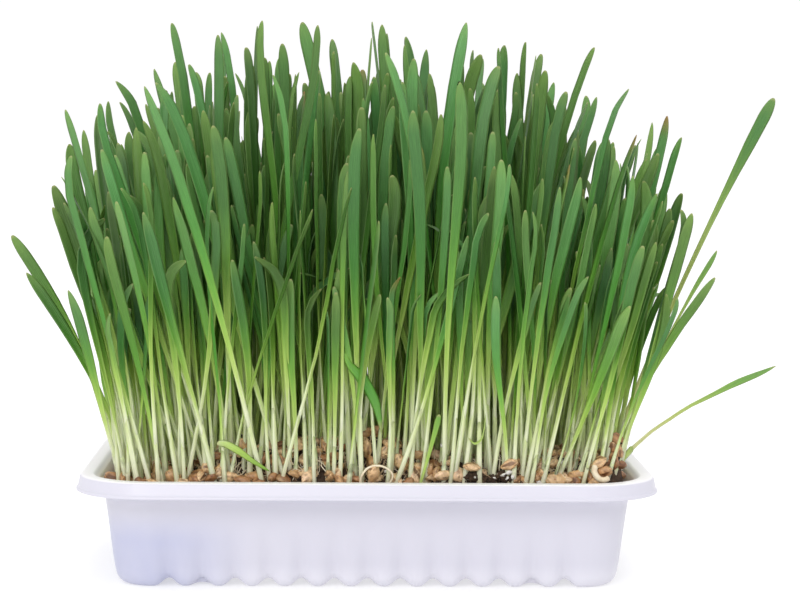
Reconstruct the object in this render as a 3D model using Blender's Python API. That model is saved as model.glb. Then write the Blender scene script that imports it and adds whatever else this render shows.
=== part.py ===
"""Wheatgrass growing in a white fluted plastic tray.

The scene is in metres with +Z up. The tray's long side runs along X, its front
faces -Y, and its feet stand at z = 0 with the origin under the middle.
The constants are in millimetres and are scaled when a mesh is made.
"""

import math
import random
from collections import namedtuple

import bmesh
import bpy
from mathutils import Vector
from mathutils.bvhtree import BVHTree
from mathutils.geometry import delaunay_2d_cdt

MM = 0.001
SEED = 41

# Outline of the tray's body where it meets the rim.
HALF_LENGTH = 86.7
HALF_WIDTH = 56.7
CORNER_RADIUS = 16.5
CORNER_STEPS = 8

# Flutes round the lower body. The numbered pair on the front and back is blind.
FLUTE_PITCH = 10.8
FLUTES_ON_LONG_SIDE = 13
FLUTES_ON_SHORT_SIDE = 7
FLUTE_PROFILE = (0.0, 0.5, 1.0, 0.5)
BLIND_FLUTE = 5

# The tray's sections are points of (distance inside the outline, height).
INNER_WALL = (
    (9.6, 4.4),
    (7.0, 6.6),
    (4.4, 14.0),
    (2.2, 23.0),
    (1.0, 29.2),
    (0.5, 32.0),
    (-1.3, 34.8),
)
RIM = (
    (-3.6, 36.0),
    (-7.2, 36.0),
    (-7.9, 35.5),
    (-8.6, 32.0),
    (-9.2, 31.5),
    (-9.1, 30.7),
    (-7.9, 30.7),
    (-6.9, 35.0),
    (-4.0, 35.0),
    (-1.9, 33.8),
    (0.0, 30.2),
)
# Rows down the outer wall, first on a lobe and then in a flute.
OUTER_WALL = (
    ((1.1, 23.0), (1.1, 23.0)),
    ((2.3, 14.0), (3.0, 14.0)),
    ((3.5, 5.5), (5.0, 6.2)),
    ((4.8, 1.6), (6.6, 3.4)),
    ((7.4, 0.0), (8.8, 2.5)),
    ((12.5, 0.0), (13.0, 2.5)),
    ((15.2, 2.5), (15.2, 2.5)),
)
# Behind its arch, a blind flute is filled down to this point.
BLIND_ROW = 5
BLIND_POINT = (9.6, 0.9)
FOOT_RADIUS = 12.0
FOOT_TAPER = 0.6

# The soil stands clear of the wall by this much, under the root mat.
SOIL_CLEARANCE = 0.4
SOIL_TOP = 30.7
SOIL_LUMP = 0.35

# Rings of the soil's top: distances inside the outline, then shares of the last one.
SOIL_TOP_INSETS = (1.6, 7.0, 13.0)
SOIL_TOP_SHARES = (0.82, 0.6, 0.36)

# The root mat is cut into tiles, each of which carries one tuft.
TILE_COLUMNS = 8
TILE_ROWS = 6
TILE_JITTER = 1.8
TILE_GAP = 0.4
MAT_INSET = 1.7
MAT_BOTTOM = 31.4
MAT_TOP = 32.9
MAT_LUMP = 0.25

# The roots have pushed the mat up in the middle, and in a clump at the right end.
MOUND_HEIGHT = 6.5
MOUND_RUN = 26.0
CLUMP_PLACE = (80.5, -12.0)
CLUMP_HEIGHT = 5.5
CLUMP_RADIUS = 6.5

# Grains of wheat that lie on the mat.
GRAINS_PER_TILE = 2
GRAIN_LENGTH = 6.4
GRAIN_WIDTH = 2.8
GRAIN_HEIGHT = 2.1
GRAIN_MARGIN = 1.5

# Seedlings. Angles are in degrees.
BLADES_PER_TILE = 10
ROOT_MARGIN = 1.9
ROOT_SPACING = 3.0
ROOT_TRIES = 60
POSE_TRIES = 6
STEM_WIDTH = 2.1
STEM_DEPTH = 1.5
BLADE_WIDTHS = (3.5, 5.4)
MIDDLE_HEIGHT = 146.0
SIDE_HEIGHT = 127.0
END_HEIGHT = 117.0
FRONT_HEIGHT = 118.0
MEAN_SHORTER = 28.0
HEIGHT_SPREAD = 15.0
MOST_SHORTER = 66.0
SIDE_ZONE = (50.0, 59.0)
END_ZONE = (70.0, 86.0)
FRONT_ZONE = (-56.0, -30.0)
LEAN_SPREAD = 3.8
FRONT_LEAN_SPREAD = 4.0
BEND_SPREAD = 5.5
FAN_TO_LEFT = 9.0
FAN_TO_RIGHT = 11.5
FAN_ALONG_Y = 7.5
FAN_POWER = 2.2
OUTWARD_BEND = 2.5

# Tips that would pass these places to the left and right are drawn back by this share.
TIP_REACH = (-97.0, 105.0)
DRAWN_BACK = 0.85
FACING_SPREAD = 42.0
TWIST_SPREAD = 26.0
CLEARANCE = 0.35

# A blade's sections above the mat: part of its height, of its width, and its depth.
BLADE_SECTIONS = (
    (0.42, 0.52, 1.3),
    (0.8, 1.0, 1.0),
)
TIP_WIDTH = 0.3

Station = namedtuple("Station", "x y nx ny weight blind corner")
Blade = namedtuple("Blade", "root slope bend height width facing twist")
Grain = namedtuple("Grain", "place angle")
Tile = namedtuple("Tile", "name outline grains blades")

# Seedlings that the photograph shows leaning out past the rim.
STRAYS = (
    Blade((80.0, -42.0), (0.25, -0.12), (2.2, 0.1), 40.0, 4.2, 10.0, 10.0),
    Blade((82.0, -18.0), (0.33, -0.16), (0.14, -0.10), 124.0, 4.6, -12.0, 8.0),
    Blade((81.0, -30.0), (0.30, -0.10), (0.28, 0.0), 77.0, 2.8, 20.0, 12.0),
    Blade((79.0, -36.0), (0.27, -0.10), (0.48, 0.0), 68.0, 4.2, 14.0, 6.0),
    Blade((-82.5, -24.0), (-0.20, -0.05), (-0.50, 0.0), 80.0, 4.4, 8.0, -10.0),
    Blade((-80.0, -10.0), (-0.15, -0.05), (-0.25, 0.0), 96.0, 6.4, -6.0, 8.0),
    Blade((-79.0, -34.0), (-0.24, -0.08), (-0.50, 0.0), 68.0, 4.0, 12.0, 12.0),
)


def clear_scene():
    """Start from an empty scene."""
    for item in list(bpy.data.objects):
        bpy.data.objects.remove(item, do_unlink=True)


# Materials.


def plastic_material():
    """White moulded plastic with a faint cool tint."""
    material = bpy.data.materials.new("white_plastic")
    material.use_nodes = True
    shader = material.node_tree.nodes["Principled BSDF"]
    shader.inputs["Base Color"].default_value = (0.82, 0.81, 0.86, 1.0)
    shader.inputs["Roughness"].default_value = 0.38
    shader.inputs["Metallic"].default_value = 0.0
    return material


def soil_material():
    """Dark, dry growing medium."""
    material = bpy.data.materials.new("dark_soil")
    material.use_nodes = True
    shader = material.node_tree.nodes["Principled BSDF"]
    shader.inputs["Base Color"].default_value = (0.055, 0.038, 0.026, 1.0)
    shader.inputs["Roughness"].default_value = 0.95
    shader.inputs["Metallic"].default_value = 0.0
    return material


def grass_material():
    """Straw brown at the mat, pale at the stems and green above."""
    material = bpy.data.materials.new("wheatgrass")
    material.use_nodes = True
    nodes = material.node_tree.nodes
    links = material.node_tree.links
    shader = nodes["Principled BSDF"]
    shader.inputs["Roughness"].default_value = 0.45
    shader.inputs["Metallic"].default_value = 0.0
    place = nodes.new("ShaderNodeTexCoord")
    split = nodes.new("ShaderNodeSeparateXYZ")
    height = nodes.new("ShaderNodeMapRange")
    height.inputs["From Min"].default_value = MAT_TOP * MM
    height.inputs["From Max"].default_value = (MAT_TOP + MIDDLE_HEIGHT) * MM
    ramp = nodes.new("ShaderNodeValToRGB")
    stops = (
        (0.05, (0.36, 0.23, 0.11, 1.0)),
        (0.08, (0.45, 0.45, 0.24, 1.0)),
        (0.22, (0.26, 0.36, 0.08, 1.0)),
        (0.45, (0.07, 0.16, 0.05, 1.0)),
        (1.0, (0.12, 0.25, 0.08, 1.0)),
    )
    while len(ramp.color_ramp.elements) < len(stops):
        ramp.color_ramp.elements.new(0.5)
    for element, (position, color) in zip(ramp.color_ramp.elements, stops):
        element.position = position
        element.color = color
    links.new(place.outputs["Object"], split.inputs["Vector"])
    links.new(split.outputs["Z"], height.inputs["Value"])
    links.new(height.outputs["Result"], ramp.inputs["Fac"])
    links.new(ramp.outputs["Color"], shader.inputs["Base Color"])
    return material


# Tray.


def side_samples(flute_count):
    """Positions along a straight side, with each one's flute weight and flute number."""
    steps_per_flute = len(FLUTE_PROFILE)
    steps = flute_count * steps_per_flute
    for step in range(steps + 1):
        along = (step - steps / 2.0) * FLUTE_PITCH / steps_per_flute
        number = round(along / FLUTE_PITCH)
        yield along, FLUTE_PROFILE[step % steps_per_flute], number


def outline_stations():
    """Walk the body's outline anticlockwise, as seen from above, from the front left."""
    sides = (
        (FLUTES_ON_LONG_SIDE, HALF_LENGTH, HALF_WIDTH, True),
        (FLUTES_ON_SHORT_SIDE, HALF_WIDTH, HALF_LENGTH, False),
    ) * 2
    stations = []
    for quarter, (flutes, half_run, distance, is_long) in enumerate(sides):
        turn = quarter * math.pi / 2.0
        cosine = round(math.cos(turn))
        sine = round(math.sin(turn))

        def add(along, out, normal_along, normal_out, weight, blind, corner):
            stations.append(Station(
                along * cosine + out * sine,
                along * sine - out * cosine,
                normal_along * cosine + normal_out * sine,
                normal_along * sine - normal_out * cosine,
                weight,
                blind,
                corner,
            ))

        straight = half_run - CORNER_RADIUS
        samples = list(side_samples(flutes))
        reach = samples[-1][0]
        if straight - reach > 0.5:
            add(-straight, distance, 0.0, 1.0, 0.0, False, True)
        for along, weight, number in samples:
            at_corner = straight - abs(along) < 0.5
            blind = is_long and abs(number) == BLIND_FLUTE
            add(along, distance, 0.0, 1.0, weight, blind, at_corner)
        if straight - reach > 0.5:
            add(straight, distance, 0.0, 1.0, 0.0, False, True)
        for step in range(1, CORNER_STEPS):
            angle = step / CORNER_STEPS * math.pi / 2.0
            normal_along = math.sin(angle)
            normal_out = math.cos(angle)
            add(
                straight + CORNER_RADIUS * normal_along,
                distance - CORNER_RADIUS + CORNER_RADIUS * normal_out,
                normal_along,
                normal_out,
                0.0,
                False,
                True,
            )
    return stations


def ring_at(mesh, stations, inset, height):
    """Add one row of vertices at a distance inside the outline."""
    ring = []
    for station in stations:
        ring.append(mesh.verts.new((
            (station.x - inset * station.nx) * MM,
            (station.y - inset * station.ny) * MM,
            height * MM,
        )))
    return ring


def fluted_ring(mesh, stations, row):
    """Add one row of the outer wall, shaped between its lobes and its flutes."""
    lobe, flute = OUTER_WALL[row]
    ring = []
    for station in stations:
        inner = BLIND_POINT if station.blind and row == BLIND_ROW else flute
        inset = lobe[0] + (inner[0] - lobe[0]) * station.weight
        height = lobe[1] + (inner[1] - lobe[1]) * station.weight
        ring.append(mesh.verts.new((
            (station.x - inset * station.nx) * MM,
            (station.y - inset * station.ny) * MM,
            height * MM,
        )))
    return ring


def join_rings(mesh, lower, upper):
    """Skin two rings of the same count, which run anticlockwise."""
    count = len(lower)
    for index in range(count):
        after = (index + 1) % count
        mesh.faces.new((lower[index], lower[after], upper[after], upper[index]))


def fan_rings(mesh, fine, coarse, starts, fine_is_lower):
    """Skin a fine ring to a coarse one whose vertices face the fine ones in starts."""
    count = len(coarse)
    for index in range(count):
        after = (index + 1) % count
        first = starts[index]
        last = starts[after] if after else starts[after] + len(fine)
        middle = (first + last) // 2
        faces = []
        for step in range(first, last):
            hub = coarse[index] if step < middle else coarse[after]
            faces.append((fine[step % len(fine)], fine[(step + 1) % len(fine)], hub))
        faces.append((coarse[index], fine[middle % len(fine)], coarse[after]))
        for face in faces:
            mesh.faces.new(face if fine_is_lower else face[::-1])


def cap_ring(mesh, ring, up):
    """Close a ring with a fan round its middle."""
    middle = mesh.verts.new(sum((vert.co for vert in ring), Vector()) / len(ring))
    count = len(ring)
    for index in range(count):
        face = (ring[index], ring[(index + 1) % count], middle)
        mesh.faces.new(face if up else face[::-1])


def build_tray(material):
    """One closed skin: floor, inner wall, rim, fluted outer wall, feet and underside."""
    mesh = bmesh.new()
    fine = outline_stations()
    starts = [index for index, station in enumerate(fine) if station.corner]
    coarse = [fine[index] for index in starts]

    rows = [ring_at(mesh, coarse, inset, height) for inset, height in INNER_WALL + RIM]
    cap_ring(mesh, rows[0], True)
    for outer, inner in zip(rows[1:], rows):
        join_rings(mesh, outer, inner)

    walls = [fluted_ring(mesh, fine, row) for row in range(len(OUTER_WALL))]
    fan_rings(mesh, walls[0], rows[-1], starts, True)
    for upper, lower in zip(walls, walls[1:]):
        join_rings(mesh, lower, upper)

    top_height = OUTER_WALL[-1][0][1]
    foot_top = []
    foot_bottom = []
    for index in range(len(coarse)):
        angle = (index + 0.5) / len(coarse) * 2.0 * math.pi - 0.75 * math.pi
        x = math.cos(angle) * MM
        y = math.sin(angle) * MM
        foot_top.append(mesh.verts.new((FOOT_RADIUS * x, FOOT_RADIUS * y, top_height * MM)))
        low_radius = FOOT_RADIUS - FOOT_TAPER
        foot_bottom.append(mesh.verts.new((low_radius * x, low_radius * y, 0.0)))
    fan_rings(mesh, walls[-1], foot_top, starts, False)
    join_rings(mesh, foot_bottom, foot_top)
    cap_ring(mesh, foot_bottom, False)
    return make_object("tray", mesh, material, True)


# Soil.


def soil_height(x, y):
    """Height of the soil's lumpy top."""
    return SOIL_TOP + SOIL_LUMP * math.sin(0.13 * x + 0.4) * math.cos(0.17 * y - 0.6)


def build_soil(material):
    """Solid fill that follows the inner wall, with a slightly lumpy top."""
    mesh = bmesh.new()
    coarse = [station for station in outline_stations() if station.corner]
    rows = []
    for inset, height in INNER_WALL[:4]:
        lift = SOIL_CLEARANCE if not rows else 0.0
        rows.append(ring_at(mesh, coarse, inset + SOIL_CLEARANCE, height + lift))
    cap_ring(mesh, rows[0], False)
    for inset in SOIL_TOP_INSETS:
        rows.append(ring_at(mesh, coarse, inset, SOIL_TOP))
    edge = [vert.co.copy() for vert in rows[-1]]
    for share in SOIL_TOP_SHARES:
        rows.append([mesh.verts.new(corner * share) for corner in edge])
    for ring in rows[-len(SOIL_TOP_INSETS + SOIL_TOP_SHARES):]:
        for vert in ring:
            vert.co.z = soil_height(vert.co.x / MM, vert.co.y / MM) * MM
    for lower, upper in zip(rows, rows[1:]):
        join_rings(mesh, lower, upper)
    cap_ring(mesh, rows[-1], True)
    return make_object("soil", mesh, material, False)


# Root mat tiles.


def mat_grid(rng):
    """Corners of the mat's tiles, jittered inside the mat and along its edge."""
    half_x = HALF_LENGTH - MAT_INSET
    half_y = HALF_WIDTH - MAT_INSET
    grid = {}
    for row in range(TILE_ROWS + 1):
        for column in range(TILE_COLUMNS + 1):
            x = -half_x + 2.0 * half_x * column / TILE_COLUMNS
            y = -half_y + 2.0 * half_y * row / TILE_ROWS
            if 0 < column < TILE_COLUMNS:
                x += rng.uniform(-TILE_JITTER, TILE_JITTER)
            if 0 < row < TILE_ROWS:
                y += rng.uniform(-TILE_JITTER, TILE_JITTER)
            grid[column, row] = Vector((x, y))
    return grid


def rounded_corner(corner):
    """Arc that replaces a mat corner, in anticlockwise order."""
    radius = CORNER_RADIUS - MAT_INSET
    side_x = math.copysign(1.0, corner.x)
    side_y = math.copysign(1.0, corner.y)
    centre = Vector((corner.x - side_x * radius, corner.y - side_y * radius))
    start = math.atan2(side_y, side_x) - math.pi / 4.0
    points = []
    for step in range(4):
        angle = start + step / 3.0 * math.pi / 2.0
        points.append(centre + radius * Vector((math.cos(angle), math.sin(angle))))
    return points


def shrink(outline, distance):
    """Move each side of a convex outline inwards."""
    count = len(outline)
    moved = []
    for index in range(count):
        before = (outline[index] - outline[index - 1]).normalized()
        after = (outline[(index + 1) % count] - outline[index]).normalized()
        normal_before = Vector((-before.y, before.x))
        normal_after = Vector((-after.y, after.x))
        reach = distance / (1.0 + normal_before.dot(normal_after))
        moved.append(outline[index] + (normal_before + normal_after) * reach)
    return moved


def tile_outline(grid, column, row):
    """Outline of one tile, anticlockwise, with a gap to the tiles beside it."""
    outline = []
    for step_x, step_y in ((0, 0), (1, 0), (1, 1), (0, 1)):
        corner = grid[column + step_x, row + step_y]
        on_end = column + step_x in (0, TILE_COLUMNS)
        on_side = row + step_y in (0, TILE_ROWS)
        if on_end and on_side:
            outline.extend(rounded_corner(corner))
        else:
            outline.append(corner)
    return shrink(outline, TILE_GAP / 2.0)


def depth_inside(outline, point):
    """Distance from a point to the nearest side of a convex outline, below 0 outside."""
    depths = []
    for index, corner in enumerate(outline):
        along = (outline[(index + 1) % len(outline)] - corner).normalized()
        offset = point - corner
        depths.append(along.x * offset.y - along.y * offset.x)
    return min(depths)


def random_inside(rng, outline, margin):
    """A random point of a convex outline, clear of its sides."""
    xs = [corner.x for corner in outline]
    ys = [corner.y for corner in outline]
    while True:
        point = Vector((rng.uniform(min(xs), max(xs)), rng.uniform(min(ys), max(ys))))
        if depth_inside(outline, point) >= margin:
            return point


def smooth_step(low, high, value):
    """0 below low, 1 above high, and smooth between."""
    part = max(0.0, min(1.0, (value - low) / (high - low)))
    return part * part * (3.0 - 2.0 * part)


def mat_height(x, y):
    """Height of the mat's lumpy top."""
    from_end = smooth_step(0.0, MOUND_RUN, HALF_LENGTH - MAT_INSET - abs(x))
    from_side = smooth_step(0.0, MOUND_RUN, HALF_WIDTH - MAT_INSET - abs(y))
    off_clump = math.hypot(x - CLUMP_PLACE[0], y - CLUMP_PLACE[1]) / CLUMP_RADIUS
    rise = MOUND_HEIGHT * from_end * from_side + CLUMP_HEIGHT * math.exp(-0.5 * off_clump ** 2)
    return MAT_TOP + rise + MAT_LUMP * math.sin(0.41 * x + 0.7) * math.cos(0.37 * y)


# Grains.


def grain_ends(grain):
    """Both ends of a grain's footprint."""
    half = Vector((math.cos(grain.angle), math.sin(grain.angle))) * GRAIN_LENGTH / 2.0
    return grain.place - half, grain.place + half


def distance_to_grain(grain, point):
    """Distance from a point to a grain's axis."""
    start, end = grain_ends(grain)
    along = end - start
    part = max(0.0, min(1.0, (point - start).dot(along) / along.length_squared))
    return (point - start - along * part).length


def draw_grains(rng, outline):
    """Lay grains on a tile without letting them touch."""
    grains = []
    for _ in range(GRAINS_PER_TILE):
        for _ in range(ROOT_TRIES):
            grain = Grain(random_inside(rng, outline, GRAIN_WIDTH), rng.uniform(0.0, math.pi))
            ends = grain_ends(grain)
            if min(depth_inside(outline, end) for end in ends) < GRAIN_MARGIN:
                continue
            points = list(ends) + [grain.place]
            if all(
                distance_to_grain(other, point) > GRAIN_WIDTH * 1.3
                for other in grains
                for point in points
            ):
                grains.append(grain)
                break
    return grains


def grain_points(grain):
    """Footprint, swollen belt and ridge of a grain, as lists of 3-D points."""
    along = Vector((math.cos(grain.angle), math.sin(grain.angle)))
    side = Vector((-along.y, along.x))
    base = mat_height(grain.place.x, grain.place.y)

    def point(part_along, part_side, height):
        flat = (
            grain.place
            + along * (part_along * GRAIN_LENGTH / 2.0)
            + side * (part_side * GRAIN_WIDTH / 2.0)
        )
        return Vector((flat.x, flat.y, base + height))

    footprint = [point(-0.9, 0.0, 0.0), point(0.0, -0.8, 0.0), point(0.9, 0.0, 0.0), point(0.0, 0.8, 0.0)]
    belt_height = GRAIN_HEIGHT * 0.45
    belt = [
        point(-1.0, 0.0, belt_height),
        point(0.0, -1.0, belt_height),
        point(1.0, 0.0, belt_height),
        point(0.0, 1.0, belt_height),
    ]
    ridge = [point(-0.5, 0.0, GRAIN_HEIGHT), point(0.5, 0.0, GRAIN_HEIGHT)]
    return footprint, belt, ridge


def grain_shell():
    """Faces of a grain above its footprint, by number over footprint, belt and ridge."""
    faces = []
    for index in range(4):
        after = (index + 1) % 4
        faces.append((index, after, after + 4, index + 4))
    faces += [(4, 5, 8), (5, 9, 8), (5, 6, 9), (6, 7, 9), (7, 8, 9), (7, 4, 8)]
    return faces


# Seedlings.


def blade_centre(blade, part):
    """Point of a blade's middle line at a part of its height."""
    x, y = blade.root
    bow = part * part / 2.0
    return Vector((
        x + blade.height * (blade.slope[0] * part + blade.bend[0] * bow),
        y + blade.height * (blade.slope[1] * part + blade.bend[1] * bow),
        mat_height(x, y) + blade.height * part,
    ))


def blade_axes(blade, part):
    """Directions across a blade and out of its back at a part of its height."""
    if part == 0.0:
        rise = Vector((0.0, 0.0, 1.0))
    else:
        rise = Vector((
            blade.slope[0] + blade.bend[0] * part,
            blade.slope[1] + blade.bend[1] * part,
            1.0,
        )).normalized()
    angle = math.radians(blade.facing + blade.twist * part)
    across = Vector((math.cos(angle), math.sin(angle), 0.0))
    across = (across - rise * across.dot(rise)).normalized()
    return across, rise.cross(across)


def blade_section(blade, part, width, depth):
    """Left edge, right edge and keel of a blade's section."""
    centre = blade_centre(blade, part)
    across, back = blade_axes(blade, part)
    return [
        centre - across * (width / 2.0) - back * (depth * 0.3),
        centre + across * (width / 2.0) - back * (depth * 0.3),
        centre + back * (depth * 0.7),
    ]


def blade_points(blade, grow=0.0):
    """All points of a blade: its sections from the mat up, then both ends of its tip."""
    points = blade_section(blade, 0.0, STEM_WIDTH + grow, STEM_DEPTH + grow)
    for part, width, depth in BLADE_SECTIONS:
        points += blade_section(blade, part, width * blade.width + grow, depth + grow)
    tip = blade_centre(blade, 1.0)
    across, _ = blade_axes(blade, 1.0)
    half_tip = across * (TIP_WIDTH * blade.width + grow) / 2.0
    return points + [tip - half_tip, tip + half_tip]


def blade_shell():
    """Faces of a blade above the mat, by number over its points."""
    faces = []
    for section in range(len(BLADE_SECTIONS)):
        low = section * 3
        for index in range(3):
            after = (index + 1) % 3
            faces.append((low + index, low + after, low + after + 3, low + index + 3))
    left = len(BLADE_SECTIONS) * 3
    right, keel, tip_left, tip_right = left + 1, left + 2, left + 3, left + 4
    faces += [
        (left, right, tip_right, tip_left),
        (right, keel, tip_right),
        (keel, tip_left, tip_right),
        (keel, left, tip_left),
    ]
    return faces


def tree_of(points, faces):
    """Search tree of a shell, for tests of touching."""
    return BVHTree.FromPolygons(points, faces, all_triangles=False)


def fan_angle(place, half, full):
    """Outward lean that grows towards an edge of the tray."""
    return math.copysign(full * abs(place / half) ** FAN_POWER, place)


def draw_blade(rng, root):
    """A random seedling that fits its place in the tray."""
    side = smooth_step(SIDE_ZONE[0], SIDE_ZONE[1], abs(root.x))
    end = smooth_step(END_ZONE[0], END_ZONE[1], abs(root.x))
    front = 1.0 - smooth_step(FRONT_ZONE[0], FRONT_ZONE[1], root.y)
    height = MIDDLE_HEIGHT + (SIDE_HEIGHT - MIDDLE_HEIGHT) * side
    height += (END_HEIGHT - SIDE_HEIGHT) * end
    height += (FRONT_HEIGHT - height) * front * rng.uniform(0.3, 1.0)
    height -= min(max(rng.gauss(MEAN_SHORTER, HEIGHT_SPREAD), 0.0), MOST_SHORTER)
    fan_x = FAN_TO_LEFT if root.x < 0.0 else FAN_TO_RIGHT
    lean_x = fan_angle(root.x, HALF_LENGTH, fan_x)
    lean_x += rng.gauss(0.0, LEAN_SPREAD + FRONT_LEAN_SPREAD * front)
    lean_y = fan_angle(root.y, HALF_WIDTH, FAN_ALONG_Y) + rng.gauss(0.0, LEAN_SPREAD)
    bend_x = rng.gauss(0.0, BEND_SPREAD) + OUTWARD_BEND * root.x / HALF_LENGTH
    bend_y = rng.gauss(0.0, BEND_SPREAD) + OUTWARD_BEND * root.y / HALF_WIDTH
    slope = [math.tan(math.radians(lean_x)), math.tan(math.radians(lean_y))]
    bend = (math.tan(math.radians(bend_x)), math.tan(math.radians(bend_y)))
    tip_x = root.x + height * (slope[0] + bend[0] / 2.0)
    past = tip_x - max(TIP_REACH[0], min(TIP_REACH[1], tip_x))
    slope[0] -= DRAWN_BACK * past / height
    return Blade(
        (root.x, root.y),
        tuple(slope),
        bend,
        height,
        rng.uniform(*BLADE_WIDTHS),
        rng.gauss(0.0, FACING_SPREAD),
        rng.gauss(0.0, TWIST_SPREAD),
    )


class Thicket:
    """What has been placed so far, with a box and a search tree for each piece."""

    def __init__(self):
        self.pieces = []

    def add(self, points, faces):
        low, high = box_of(points)
        self.pieces.append((low, high, tree_of(points, faces)))

    def is_clear(self, points, faces):
        low, high = box_of(points)
        tree = None
        for other_low, other_high, other_tree in self.pieces:
            if any(low[axis] > other_high[axis] or high[axis] < other_low[axis] for axis in range(3)):
                continue
            if tree is None:
                tree = tree_of(points, faces)
            if tree.overlap(other_tree):
                return False
        return True


def box_of(points):
    """Lowest and highest corner of a set of points."""
    low = tuple(min(point[axis] for point in points) for axis in range(3))
    high = tuple(max(point[axis] for point in points) for axis in range(3))
    return low, high


def draw_tiles():
    """Place the tiles, their grains and their seedlings so that nothing touches."""
    rng = random.Random(SEED)
    grid = mat_grid(rng)
    thicket = Thicket()
    tiles = []
    for row in range(TILE_ROWS):
        for column in range(TILE_COLUMNS):
            outline = tile_outline(grid, column, row)
            tiles.append(Tile(f"tuft_r{row + 1}_c{column + 1}", outline, [], []))

    for stray in STRAYS:
        root = Vector(stray.root)
        home = max(tiles, key=lambda tile: depth_inside(tile.outline, root))
        home.blades.append(stray)
        thicket.add(blade_points(stray), blade_shell())

    for tile in tiles:
        for grain in draw_grains(rng, tile.outline):
            footprint, belt, ridge = grain_points(grain)
            points = footprint + belt + ridge
            if thicket.is_clear(points, grain_shell()):
                tile.grains.append(grain)
                thicket.add(points, grain_shell())

    order = [tile for tile in tiles for _ in range(BLADES_PER_TILE - len(tile.blades))]
    rng.shuffle(order)
    for tile in order:
        blade = draw_clear_blade(rng, tile, thicket)
        if blade:
            tile.blades.append(blade)
            thicket.add(blade_points(blade), blade_shell())
    return tiles


def draw_clear_blade(rng, tile, thicket):
    """A seedling for a tile that touches nothing placed before, or none."""
    for _ in range(ROOT_TRIES):
        root = random_inside(rng, tile.outline, ROOT_MARGIN)
        if any((root - Vector(blade.root)).length < ROOT_SPACING for blade in tile.blades):
            continue
        if any(distance_to_grain(grain, root) < ROOT_SPACING for grain in tile.grains):
            continue
        for _ in range(POSE_TRIES):
            blade = draw_blade(rng, root)
            if thicket.is_clear(blade_points(blade, 2.0 * CLEARANCE), blade_shell()):
                return blade
    return None


# Tufts.


def build_tuft(tile, material):
    """One closed body: a tile of the mat whose top is raised into grains and seedlings."""
    mesh = bmesh.new()
    top_points = [Vector((c.x, c.y, mat_height(c.x, c.y))) for c in tile.outline]
    rim_count = len(top_points)
    shells = []
    for grain in tile.grains:
        footprint, belt, ridge = grain_points(grain)
        shells.append((footprint, belt + ridge, grain_shell()))
    for blade in tile.blades:
        points = blade_points(blade)
        shells.append((points[:3], points[3:], blade_shell()))

    owners = [-1] * rim_count
    for number, (footprint, _, _) in enumerate(shells):
        top_points += footprint
        owners += [number] * len(footprint)
    top = [mesh.verts.new(point * MM) for point in top_points]

    start = rim_count
    hole_edges = []
    for footprint, upper, faces in shells:
        size = len(footprint)
        base = top[start:start + size]
        verts = base + [mesh.verts.new(point * MM) for point in upper]
        for face in faces:
            mesh.faces.new([verts[index] for index in face])
        hole_edges += [(start + index, start + (index + 1) % size) for index in range(size)]
        start += size

    rim_edges = [(index, (index + 1) % rim_count) for index in range(rim_count)]
    flat = [Vector((point.x, point.y)) for point in top_points]
    _, _, triangles, _, _, _ = delaunay_2d_cdt(flat, rim_edges + hole_edges, [], 0, 1e-6)
    for triangle in triangles:
        owner = {owners[index] for index in triangle}
        if len(owner) == 1 and owner != {-1}:
            continue
        mesh.faces.new([top[index] for index in triangle])

    bottom = []
    for corner in tile.outline:
        bottom.append(mesh.verts.new((corner.x * MM, corner.y * MM, MAT_BOTTOM * MM)))
    join_rings(mesh, bottom, top[:rim_count])
    mesh.faces.new(bottom[::-1])
    return make_object(tile.name, mesh, material, False)


# Objects.


def make_object(name, mesh, material, smooth):
    """Turn a closed bmesh into a named object of triangles."""
    bmesh.ops.triangulate(mesh, faces=mesh.faces[:])
    data = bpy.data.meshes.new(name)
    mesh.to_mesh(data)
    mesh.free()
    data.materials.append(material)
    if smooth:
        data.shade_smooth()
        data.set_sharp_from_angle(angle=math.radians(35.0))
    result = bpy.data.objects.new(name, data)
    bpy.context.scene.collection.objects.link(result)
    return result


def build():
    """Build every piece of the wheatgrass tray."""
    clear_scene()
    build_tray(plastic_material())
    build_soil(soil_material())
    grass = grass_material()
    for tile in draw_tiles():
        build_tuft(tile, grass)


build()
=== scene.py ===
"""Looks of the wheatgrass tray.

The layout of the tiles, grains and seedlings repeats the rule of the part's source, so
that each finer piece stands where the plain one does. Lengths are in millimetres until
a mesh is made. Leans, bends and twists of seedlings are in degrees, and the turns of grains,
crumbs, roots and hanging tips are in radians.
"""

import math
import random
from collections import namedtuple

import bpy
import numpy as np
from mathutils import Matrix, Vector, noise
from mathutils.bvhtree import BVHTree


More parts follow.
